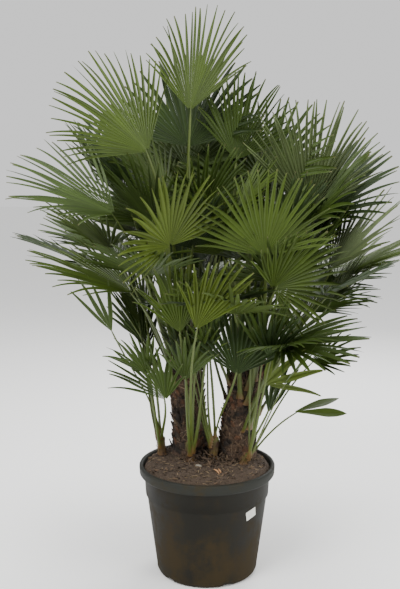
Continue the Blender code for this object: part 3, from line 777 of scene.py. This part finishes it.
# %% Fibre materials
def fibre_material(name, pit_shade, roughness):
    """The tone with fine upright streaks, and painted shade of the fibre's hollows, a dark colour where a
    coarser noise is high.
    """
    s = Shader(name)
    streaks = s.noise(s.stretched(s.place(), 220.0, 220.0, 26.0), 1.0, detail=5.0)
    patches = s.noise(s.place(), 24.0, detail=5.0)
    return s.finish(
        Base_Color=s.mix(s.ramp(patches, 0.46, 0.62), s.tinted(s.tone(), 0.5 + 1.0 * streaks), pit_shade),
        Roughness=roughness,
        Normal=s.bump(streaks * 0.6 + patches * 0.4, 0.8, 0.004),
    )


# The second colour is the painted shade of the fibre's hollows.
TRUNK_SKIN = fibre_material("trunk_fibre_skin", (0.012, 0.008, 0.005), 0.92)
SHEATH_SKIN = fibre_material("shoot_sheath_skin", (0.045, 0.022, 0.010), 0.80)
print("materials", [TRUNK_SKIN.name, SHEATH_SKIN.name])

# %% Tube and lid
def tube(stem, rows, columns, bulge):
    """The stem's radius plus bulge(share, turn), set out round its middle line."""
    share = np.linspace(0.0, 1.0, rows)[:, None] + np.zeros((1, columns))
    turn = np.linspace(0, 2 * math.pi, columns, endpoint=False)[None, :] + np.zeros((rows, 1))
    radius = stem_radius(stem, share) + bulge(share, turn)
    return stem_axis(stem, share) + radius[..., None] * around(turn)


def lid(skin, peak):
    """Two rows that close a tube: its last ring, and the peak repeated for each column."""
    return np.stack([skin[-1], np.broadcast_to(peak, skin[-1].shape)])[None]


def crossed_wave(waves, windings, phases, share, turn):
    """A sine that winds one way round the stem, times one that winds the other way."""
    one_way = np.sin(waves[0] * turn + windings[0] * share + phases[0])
    return one_way * np.sin(waves[1] * turn - windings[1] * share + phases[1])


print("a plain shoot", tube(STEMS["sucker_left"], 2, 8, lambda share, turn: 0.0).shape)

# %% Old leaf bases
WEDGE_RINGS = ((0.0, 1.25), (0.45, 1.0), (1.0, 0.62), (1.02, 0.05))
WEDGE_ROOT, WEDGE_WIDTH, WEDGE_DEPTH, WANDER = 0.004, 0.40, 0.13, 0.12
LOWEST_WEDGE, WEDGE_ZONE = 0.02, 0.96


def wedges(stem, count, size, draw, lean):
    """Six-sided wedges in a spiral: rooted in the stem, standing up, and leaning out by their own share.

    Each is a stack of rings (share of its length, share of its width). The inner side is narrower.
    """
    k = np.arange(count)
    share = (LOWEST_WEDGE + WEDGE_ZONE * (k + 0.5) / count)[:, None]
    turn = np.radians(k * GOLDEN_ANGLE)[:, None] + draw.normal(0, WANDER, (count, 1))
    out, side = around(turn[:, 0]), around(turn[:, 0] + math.pi / 2)
    root = stem_axis(stem, share[:, 0]) + out * (stem_radius(stem, share) - WEDGE_ROOT)
    leaning = lean * draw.uniform(0.6, 1.3, (count, 1)) * out
    rise = unit(UP + leaning + draw.normal(0, WANDER, (count, 1)) * side)
    length = size * draw.uniform(0.7, 1.25, (count, 1))
    width = size * WEDGE_WIDTH * draw.uniform(0.8, 1.2, (count, 1))
    rings = []
    for step, narrow in WEDGE_RINGS:
        centre = root + rise * length * step
        half = side * width * narrow
        deep = out * (size * WEDGE_DEPTH) * (1.1 - 0.5 * min(step, 1.0))
        outer = [centre - half, centre - half * 0.6 + deep, centre + half * 0.6 + deep, centre + half]
        inner = [centre + half * 0.5 - deep, centre - half * 0.5 - deep]
        rings.append(np.stack(outer + inner, 1))
    return np.stack(rings, 1)


print("rings of a wedge", len(WEDGE_RINGS))

# %% Strands of fibre
STRAND_STATIONS, STRAND_HALF, MEAN_TRUNK_RADIUS = 6, 0.0011, 0.07
SLOPE_SPREAD, LEAST_LIFT, CURL, CURL_START = 0.9, 0.004, 0.012, 0.35


def strands(stem, count, length, draw):
    """Thin strips that wind over the stem at a random slope, and lift off it towards their ends.

    The height gained is the run times the cosine of the slope, and the turn is the run times its sine
    over a trunk's mean radius.
    """
    share = draw.uniform(0.03, 0.97, (count, 1))
    turn = draw.uniform(0, 2 * math.pi, (count, 1))
    steps = np.linspace(0, 1, STRAND_STATIONS)[None, :]
    slope = draw.normal(0, SLOPE_SPREAD, (count, 1))
    run = length * draw.uniform(0.4, 1.3, (count, 1))
    climb = steps * run * np.cos(slope) / (stem.top[2] - SOIL_TOP)
    along = np.clip(share + climb * draw.choice([-1, 1], (count, 1)), 0.005, 0.995)
    out = around(turn + steps * run * np.sin(slope) / MEAN_TRUNK_RADIUS)
    lift = LEAST_LIFT + CURL * draw.uniform(0, 1, (count, 1)) * np.abs(steps - CURL_START) ** 1.5
    line = stem_axis(stem, along) + out * (stem_radius(stem, along) + lift)[..., None]
    side = np.cross(unit(np.gradient(line, axis=1)), out)
    half = side * (STRAND_HALF * draw.uniform(0.5, 1.3, (count, 1)) * (1.05 - steps))[..., None]
    return np.stack([line - half, line + half], 2)


print("stations of a strand", STRAND_STATIONS)

# %% Two trunks
TRUNK_SEED, TRUNK_ROWS, TRUNK_COLUMNS = 90, 130, 112
COARSE_WAVE, FINE_WAVE, SINK = 0.0035, 0.0018, 0.002
WEDGES, WEDGE_SIZE, WEDGE_LEAN, TOP_WEDGES = 190, 0.031, 0.40, 10
STRANDS, STRAND_LENGTH, LID_RISE = 900, 0.07, 0.004
TUBE_BROWN, LID_BROWN, SHEATH_ORANGE = (0.070, 0.042, 0.026), (0.050, 0.030, 0.018), (0.150, 0.062, 0.022)
WEDGE_BROWNS = np.array([
    (0.048, 0.028, 0.015), (0.076, 0.033, 0.014), (0.030, 0.020, 0.012), (0.100, 0.070, 0.040)
])
WEDGE_ODDS = (0.45, 0.25, 0.2, 0.1)
STRAND_BROWNS = np.array([(0.100, 0.060, 0.034), (0.200, 0.140, 0.085), (0.050, 0.032, 0.020)])
STRAND_ODDS = (0.5, 0.2, 0.3)


def build_trunk(name, number):
    """Tube, lid, wedges and strands of one trunk. The last wedges, at its top, are orange sheaths."""
    stem, draw = STEMS[name], np.random.default_rng(TRUNK_SEED + number)
    phases = draw.uniform(0, 6.28, 6)

    def bulge(share, turn):
        """Rough rings: a coarse crossed wave of 3.5 mm and a fine one of 1.8 mm, 2 mm further in."""
        coarse = crossed_wave((9, 8), (60, 66), phases[0:2], share, turn)
        fine = crossed_wave((23, 19), (140, 190), phases[2:4], share, turn)
        return COARSE_WAVE * coarse + FINE_WAVE * fine - SINK

    work = Patchwork()
    skin = tube(stem, TRUNK_ROWS, TRUNK_COLUMNS, bulge)
    patch = draw.uniform(0.75, 1.25, (1, TRUNK_ROWS, TRUNK_COLUMNS, 1))
    work.grids(skin[None], patch * np.array(TUBE_BROWN), wrap=True)
    work.grids(lid(skin, stem.top + LID_RISE * UP), LID_BROWN, wrap=True)
    blocks = wedges(stem, WEDGES, WEDGE_SIZE, draw, WEDGE_LEAN)
    browns = WEDGE_BROWNS[draw.choice(4, len(blocks), p=WEDGE_ODDS)][:, None, None]
    browns[-TOP_WEDGES:] = SHEATH_ORANGE
    work.grids(blocks, browns, wrap=True)
    fibres = strands(stem, STRANDS, STRAND_LENGTH, draw)
    work.grids(fibres, STRAND_BROWNS[draw.choice(3, len(fibres), p=STRAND_ODDS)][:, None, None])
    piece = work.piece(name + "_bark", [TRUNK_SKIN])
    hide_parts(name)
    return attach(piece, "root")


trunks = [build_trunk(name, number) for number, name in enumerate(STEMS) if name.startswith("trunk")]
print("trunk faces", faces_of(trunks))

# %% [markdown]
# Shoots
#
# At the trunks' feet young shoots push up. Each is a bundle of leaf sheaths, orange-brown at the soil and
# green above, so the same tube, wedges and strands serve in a smaller size, with a tone that changes with
# height.

# %% Four shoots
SHOOT_SEED, SHOOT_ROWS, SHOOT_COLUMNS = 190, 40, 48
SHOOT_WEDGES, SHOOT_WEDGE_SIZE, SHOOT_LEAN = 12, 0.019, 0.10
SHOOT_STRANDS, SHOOT_STRAND_LENGTH = 90, 0.04
RIB_WAVE, FINE_RIB_WAVE = 0.0012, 0.0006
LID_TAN, WEDGE_TAN, STRAND_TAN = (0.160, 0.090, 0.040), (0.085, 0.044, 0.014), (0.100, 0.060, 0.028)


def build_sucker(name, number):
    """Tube, lid, wedges and strands of one shoot, its tone mixed from foot to stalk by the height."""
    stem, draw = STEMS[name], np.random.default_rng(SHOOT_SEED + number)
    phase = draw.uniform(0, 6.28, 2)

    def bulge(share, turn):
        """Ribs: a wave of 1.2 mm seven times round, which winds a little, and one of 0.6 mm."""
        ribs = RIB_WAVE * np.sin(7 * turn + 3 * share + phase[0])
        return ribs + FINE_RIB_WAVE * np.sin(19 * turn + phase[1])

    work = Patchwork()
    skin = tube(stem, SHOOT_ROWS, SHOOT_COLUMNS, bulge)
    rise = np.linspace(0.0, 1.0, SHOOT_ROWS)[:, None, None]
    work.grids(skin[None], rise * STALK_TONE + (1.0 - rise) * FOOT_TONE, wrap=True)
    work.grids(lid(skin, stem.top), LID_TAN, wrap=True)
    work.grids(wedges(stem, SHOOT_WEDGES, SHOOT_WEDGE_SIZE, draw, SHOOT_LEAN), WEDGE_TAN, wrap=True)
    work.grids(strands(stem, SHOOT_STRANDS, SHOOT_STRAND_LENGTH, draw), STRAND_TAN)
    piece = work.piece(name + "_sheaths", [SHEATH_SKIN])
    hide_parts(name)
    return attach(piece, "root")


suckers = [build_sucker(name, number) for number, name in enumerate(STEMS) if name.startswith("sucker")]
print("shoot faces", faces_of(suckers))

# %% [markdown]
# Soil
#
# Potting soil is a mound of dark crumbs with straws and bark chips, and a litter of old fibre lies between
# the stems. Sculpting it would be slow. A grid of rings roughened by waves of four sizes gives the ground,
# and one formula for a small bent bar gives every crumb, straw, chip and stick on it.

# %% Soil material
DRY_GRAIN = (0.200, 0.140, 0.080)


def soil_material():
    """The tone times a coarse noise, with pale dry grains where a fine noise is high."""
    s = Shader("potting_soil")
    crumbs = s.noise(s.place(), 150.0, detail=6.0, rough=0.7)
    grains = s.ramp(s.noise(s.place(), 420.0, detail=2.0), 0.60, 0.68)
    return s.finish(
        Base_Color=s.mix(grains * 0.5, s.tinted(s.tone(), 0.45 + 1.1 * crumbs), DRY_GRAIN),
        Roughness=0.95,
        Normal=s.bump(crumbs, 0.9, 0.005),
    )


SOIL_SKIN = soil_material()
print("material", SOIL_SKIN.name)

# %% Ground
SOIL_PROFILE = ((0.0, 0.4545), (0.216, 0.4545), (0.236, 0.4465), (0.2535, 0.4300), (0.2536, 0.4200))
SOIL_EDGE, SOIL_RINGS, SOIL_COLUMNS = 0.2535, 90, 220
WAVES = ((0.09, 0.0022), (0.03, 0.0018), (0.011, 0.0014), (0.005, 0.0010))
WAVE_DIRECTIONS = 7


def soil_height(radius):
    """The mound's height, on straight lines between the points of its profile."""
    return np.interp(radius, *np.array(SOIL_PROFILE).T)


def rough(x, y, draw):
    """For each wavelength and height, a sum of plane waves of random direction and phase."""
    total = np.zeros_like(x)
    for wavelength, height in WAVES:
        for _ in range(WAVE_DIRECTIONS):
            a, phase = draw.uniform(0, 2 * math.pi, 2)
            way = x * math.cos(a) + y * math.sin(a)
            total += height / 3 * np.sin(2 * math.pi / wavelength * way + phase)
    return total


def ground(draw):
    """Rings out to the pot's wall, at the mound's height plus the roughness, and one ring that dips."""
    rings = np.concatenate([np.linspace(0.0, SOIL_EDGE, SOIL_RINGS), [SOIL_PROFILE[-1][0]]])[:, None]
    radius = rings + np.zeros((1, SOIL_COLUMNS))
    turn = np.linspace(0, 2 * math.pi, SOIL_COLUMNS, endpoint=False)[None, :] + np.zeros_like(rings)
    x, y = radius * np.cos(turn), radius * np.sin(turn)
    return np.stack([x, y, soil_height(radius) + rough(x, y, draw)], -1)


print("height at the wall", soil_height(SOIL_EDGE))

# %% Bars
BAR_STATIONS, MOST_ARCH, END_SLIMMING = 4, 0.35, 1.2


def bars(centre, ahead, size, draw):
    """Bars along ahead, of size (length, width, thickness): arched by a parabola, and slim at the ends."""
    side = unit(np.cross(ahead, UP))
    up = np.cross(side, ahead)
    steps = np.linspace(-0.5, 0.5, BAR_STATIONS)[None, :, None]
    arch = (0.25 - steps**2) * size[:, None, :1] * draw.uniform(0.0, MOST_ARCH, (len(centre), 1, 1))
    line = centre[:, None] + ahead[:, None] * steps * size[:, None, :1] + up[:, None] * arch
    half = side[:, None] * size[:, None, 1:2] / 2 * (1.0 - END_SLIMMING * np.abs(steps))
    deep = up[:, None] * size[:, None, 2:3] / 2
    return np.stack([line - half - deep, line + half - deep, line + half + deep, line - half + deep], 2)


print("points of a bar", BAR_STATIONS * 4)

# %% What lies on the soil
Scrap = namedtuple("Scrap", "count length width thickness darkest palest tone")
SCRAPS = {
    "crumbs": Scrap(900, 0.006, 0.8, 0.6, 0.5, 1.5, (0.050, 0.034, 0.022)),
    "straws": Scrap(260, 0.020, 0.12, 0.08, 0.5, 1.2, (0.240, 0.170, 0.095)),
    "chips": Scrap(120, 0.016, 0.5, 0.16, 0.5, 1.4, (0.100, 0.062, 0.036)),
    "litter": Scrap(420, 0.026, 0.30, 0.14, 0.4, 1.6, (0.060, 0.038, 0.022)),
}
Stick = namedtuple("Stick", "centre ahead size tone")
STICKS = (
    Stick((0.036, -0.150, 0.4590), (0.35, -0.93, 0.03), (0.056, 0.005, 0.004), (0.560, 0.300, 0.140)),
    Stick((0.048, -0.146, 0.4600), (0.22, -0.97, 0.05), (0.046, 0.005, 0.004), (0.520, 0.270, 0.120)),
    Stick((-0.034, -0.085, 0.4600), (0.70, -0.60, 0.10), (0.030, 0.011, 0.005), (0.300, 0.270, 0.220)),
)


print("scraps", sum(scrap.count for scrap in SCRAPS.values()), "sticks", len(STICKS))

# %% Strewing
OPEN_SOIL, LITTER_REACH, RESTING_HEIGHT, TILT_SPREAD, TUMBLE = 0.243, 0.13, 0.0015, 0.18, 0.5
LITTER_MIDDLE, LITTER_HEIGHT, LITTER_FALL = np.array((0.015, 0.045, 0.0)), 0.050, 0.009


def scatter(scrap, draw, reach=OPEN_SOIL):
    """Evenly strewn centres, headings and lengths: the radius is the reach times the root of a share."""
    radius = reach * np.sqrt(draw.uniform(0, 1, scrap.count))
    turn = draw.uniform(0, 2 * math.pi, scrap.count)
    centre = radius[:, None] * around(turn)
    centre[:, 2] = soil_height(radius) + RESTING_HEIGHT
    way = draw.uniform(0, 2 * math.pi, scrap.count)
    ahead = around(way)
    ahead[:, 2] = draw.normal(0, TILT_SPREAD, scrap.count)
    return centre, unit(ahead), scrap.length * draw.uniform(0.4, 1.3, (scrap.count, 1))


def heaped(centre, ahead, draw):
    """Litter moved to the stems, lifted by a random share of a bell-shaped heap, and tipped every way."""
    centre = centre + LITTER_MIDDLE
    heap = np.exp(-np.sum((centre[:, :2] - LITTER_MIDDLE[:2]) ** 2, 1) / LITTER_FALL)
    centre[:, 2] += LITTER_HEIGHT * heap * draw.uniform(0.0, 1.0, len(centre))
    return centre, unit(ahead + draw.normal(0.0, TUMBLE, (len(centre), 3)))


def lay(work, scrap, centre, ahead, length, draw):
    """Adds a family of bars, whose width and thickness are shares of the length."""
    size = np.concatenate([length, length * scrap.width, length * scrap.thickness], 1)
    shapes = bars(centre, ahead, size, draw)
    shade = draw.uniform(scrap.darkest, scrap.palest, (scrap.count, 1, 1, 1))
    work.grids(shapes, shade * np.array(scrap.tone), wrap=True)


print("litter heaps up to", LITTER_HEIGHT)

# %% The soil's top
SOIL_SEED, SOIL_BROWN = 77, (0.050, 0.033, 0.021)


def build_soil():
    """Ground, crumbs, straws, chips, litter and the three larger sticks, in one piece."""
    draw = np.random.default_rng(SOIL_SEED)
    work = Patchwork()
    work.grids(ground(draw)[None], SOIL_BROWN, wrap=True)
    for kind in ("crumbs", "straws", "chips"):
        lay(work, SCRAPS[kind], *scatter(SCRAPS[kind], draw), draw)
    centre, ahead, length = scatter(SCRAPS["litter"], draw, LITTER_REACH)
    lay(work, SCRAPS["litter"], *heaped(centre, ahead, draw), length, draw)
    centre, ahead, size, tone = (np.array(column) for column in zip(*STICKS))
    work.grids(bars(centre, unit(ahead), size, draw), tone[:, None, None], wrap=True)
    piece = work.piece("soil_top", [SOIL_SKIN], smooth=False)
    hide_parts("soil")
    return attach(piece, "root")


soil = build_soil()
print("soil faces", faces_of([soil]))

# %% [markdown]
# Pot
#
# The pot is moulded from black plastic: a tapered wall, a collar, a rolled rim, and a foot with five low
# arches. The CAD pot has flat facets, which show as bands in soft light. So its profile is turned again
# on a finer grid, and the dirt is a material: clouds, specks and upright streaks of dried earth, thicker
# towards the foot.

# %% Stained plastic
BODY_BLACK, RIM_GREY = (0.0062, 0.0054, 0.0026), (0.0140, 0.0150, 0.0115)
EARTH, PALE_EARTH = (0.036, 0.025, 0.010), (0.055, 0.043, 0.026)


def pot_material():
    """Dirt is a smooth step on a sum of clouds, specks, streaks and nearness to the foot.

    It tints the plastic brown and makes it rougher. The rim is greyer than the body.
    """
    s = Shader("stained_plastic")
    place = s.place()
    height = s.axes(place).sibling("Z")
    clouds = s.noise(place, 9.0, detail=6.0, rough=0.62)
    specks = s.noise(place, 60.0, detail=5.0, rough=0.7)
    low = 1.0 - s.ramp(height, 0.02, 0.36)
    streaks = s.noise(s.stretched(place, 26.0, 26.0, 7.0), 1.0, detail=5.0)
    dirt = s.ramp(clouds * 0.6 + specks * 0.25 + streaks * 0.3 + low * 0.16, 0.56, 0.80)
    plastic = s.mix(s.ramp(height, 0.398, 0.408), BODY_BLACK, RIM_GREY)
    color = s.mix(dirt * 0.70, plastic, EARTH)
    return s.finish(
        Base_Color=s.mix(s.ramp(specks, 0.66, 0.76) * 0.25, color, PALE_EARTH),
        Roughness=0.62 + 0.30 * dirt,
        Specular_IOR_Level=0.20,
        Normal=s.bump(specks * 0.6 + clouds * 0.4, 0.25, 0.0015),
    )


POT_SKIN = pot_material()
print("material", POT_SKIN.name)

# %% Turned pot
POT_COLUMNS, POT_TONE = 288, (0.01, 0.01, 0.01)
FOOT_RADIUS, NOTCHES, NOTCH_WIDTH, NOTCH_HEIGHT, NOTCH_AZIMUTH = 0.190, 5, 0.050, 0.011, -66.0
BODY_FOOT, BODY_TOP = (0.2060, 0.032), (0.2440, 0.322)
POT_PROFILE = (
    (0.0, 0.0), (0.176, 0.0), (FOOT_RADIUS, 0.0), (0.1995, 0.005), (0.2045, 0.016), BODY_FOOT,
    BODY_TOP, (0.2450, 0.3235), (0.2495, 0.325), (0.2545, 0.404), (0.2550, 0.405), (0.2690, 0.405),
    (0.2720, 0.409), (0.2735, 0.412), (0.2750, 0.435), (0.2748, 0.440), (0.2720, 0.445), (0.2620, 0.445),
    (0.2585, 0.440), (0.2560, 0.4250),
)


def build_pot():
    """The profile turned about the z axis, with the foot raised into arches.

    An arch is the root of one minus the square of the distance from its middle over half its width.
    """
    turn = np.linspace(0.0, 2.0 * math.pi, POT_COLUMNS, endpoint=False)[None, :]
    pitch = 2.0 * math.pi / NOTCHES
    from_notch = (turn - math.radians(NOTCH_AZIMUTH) + pitch / 2) % pitch - pitch / 2
    arch = np.sqrt(np.maximum(0.0, 1.0 - (from_notch * FOOT_RADIUS / (NOTCH_WIDTH / 2)) ** 2))
    radius, height = (np.array(POT_PROFILE).T)[:, :, None]
    lift = np.where((radius >= FOOT_RADIUS) & (height < NOTCH_HEIGHT), NOTCH_HEIGHT * arch, 0.0)
    points = np.stack([radius * np.cos(turn), radius * np.sin(turn), np.maximum(height, lift)], -1)
    work = Patchwork()
    work.grids(points[None], POT_TONE, wrap=True)
    piece = work.piece("turned_pot", [POT_SKIN])
    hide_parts("pot")
    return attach(piece, "root")


pot = build_pot()
print("pot faces", faces_of([pot]))

# %% [markdown]
# Label
#
# A small white sticker is on the pot's side. It stays blank. A flat card would stand off the round wall, so
# its grid is bent to the wall's radius at each height, and it ripples by less than half a millimetre.

# %% Label material
PAPER, SMUDGED_PAPER = (0.62, 0.62, 0.56), (0.30, 0.29, 0.23)


def label_material():
    """Off-white paper, grey where a noise is high."""
    s = Shader("blank_label")
    smudge = s.noise(s.place(), 60.0, detail=5.0)
    return s.finish(
        Base_Color=s.mix(s.ramp(smudge, 0.50, 0.75) * 0.6, PAPER, SMUDGED_PAPER),
        Roughness=0.55,
        Normal=s.bump(smudge, 0.2, 0.0006),
    )


LABEL_SKIN = label_material()
print("material", LABEL_SKIN.name)

# %% Blank label
LABEL_AZIMUTH, LABEL_Z, LABEL_SIZE, LABEL_TILT = -45.0, 0.294, (0.052, 0.038), 14.0
LABEL_LIFT, LABEL_RIPPLE, LABEL_TONE = 0.0006, 0.0004, (0.6, 0.6, 0.55)


def build_label():
    """A tilted rectangle wrapped on the tapered wall: its width over the radius is its turn."""
    across = np.linspace(-0.5, 0.5, 15)[None, :] * LABEL_SIZE[0]
    upward = np.linspace(-0.5, 0.5, 11)[:, None] * LABEL_SIZE[1]
    tilt = math.radians(LABEL_TILT)
    u = across * math.cos(tilt) - upward * math.sin(tilt)
    z = LABEL_Z + across * math.sin(tilt) + upward * math.cos(tilt)
    wall = np.interp(z, (BODY_FOOT[1], BODY_TOP[1]), (BODY_FOOT[0], BODY_TOP[0]))
    radius = wall + LABEL_LIFT + LABEL_RIPPLE * np.sin(90 * u + 40 * z)
    turn = math.radians(LABEL_AZIMUTH) + u / wall
    work = Patchwork()
    work.grids(np.stack([radius * np.cos(turn), radius * np.sin(turn), z], -1)[None], LABEL_TONE)
    piece = work.piece("blank_label", [LABEL_SKIN])
    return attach(piece, "root")


label = build_label()
print("label corner", [round(x, 3) for x in label.data.vertices[0].co])

# %% [markdown]
# Floor, light and camera
#
# A plant is easiest to judge on a pale floor in soft light. Four large round lamps stand round it, the
# brightest at front left, and a white world fills the shadows. The camera stands level with the middle of
# the crown and looks down by eight degrees.

# %% Floor
FLOOR_TONE, FLOOR_REACH = (0.93, 0.93, 0.92), 40.0


def build_floor():
    """A flat square about the origin."""
    reach = np.array([-FLOOR_REACH, FLOOR_REACH])
    x, y = np.meshgrid(reach, reach)
    work = Patchwork()
    work.grids(np.stack([x, y, 0 * x], -1)[None], FLOOR_TONE)
    floor = work.piece("floor", [Shader("pale_floor").finish(Base_Color=FLOOR_TONE, Roughness=0.8)])
    return floor


print("floor faces", faces_of([build_floor()]))

# %% Lamps
Lamp = namedtuple("Lamp", "name place target size power")
LAMPS = (
    Lamp("key_light", (-2.2, -3.0, 4.6), (0.0, 0.0, 1.2), 2.6, 260),
    Lamp("fill_light", (3.2, -2.4, 2.6), (0.0, 0.0, 1.1), 2.8, 110),
    Lamp("back_light", (1.6, 3.4, 3.4), (0.0, 0.0, 1.1), 2.6, 130),
    Lamp("top_light", (0.2, 0.8, 5.0), (0.0, 0.0, 1.0), 3.0, 150),
)


def linked(name, data):
    """A new object in the scene's collection."""
    obj = bpy.data.objects.new(name, data)
    bpy.context.scene.collection.objects.link(obj)
    return obj


def build_lamp(lamp):
    """A round area light that tracks an empty at its target."""
    light = bpy.data.lights.new(lamp.name, "AREA")
    light.shape, light.size, light.energy = "DISK", lamp.size, lamp.power
    obj, aim = linked(lamp.name, light), linked(lamp.name + "_target", None)
    obj.location, aim.location = lamp.place, lamp.target
    track = obj.constraints.new("TRACK_TO")
    track.target, track.track_axis, track.up_axis = aim, "TRACK_NEGATIVE_Z", "UP_Y"
    return obj


lamps = [build_lamp(lamp) for lamp in LAMPS]
print("lamps", [lamp.name for lamp in lamps])

# %% World
WORLD_STRENGTH = 0.95
world = bpy.data.worlds.new("soft_world")
bpy.context.scene.world = world
world.use_nodes = True
background = world.node_tree.nodes["Background"].inputs
background["Color"].default_value = (1.0, 1.0, 1.0, 1.0)
background["Strength"].default_value = WORLD_STRENGTH
print("world", world.name, WORLD_STRENGTH)

# %% Camera
CAMERA_PLACE, LOOK_DOWN, LENS, SENSOR = (-0.0285, -3.29, 1.6), 8.07, 51.34, 36.0
camera = linked("camera", bpy.data.cameras.new("camera"))
camera.location = CAMERA_PLACE
camera.rotation_euler = (math.radians(90 - LOOK_DOWN), 0.0, 0.0)
camera.data.sensor_width = SENSOR
camera.data.lens = LENS
bpy.context.scene.camera = camera
print("camera at", CAMERA_PLACE)

# %% [markdown]
# The dressed part has to keep to the CAD model's box.

# Update
#

# %% Update
bpy.context.view_layer.update()
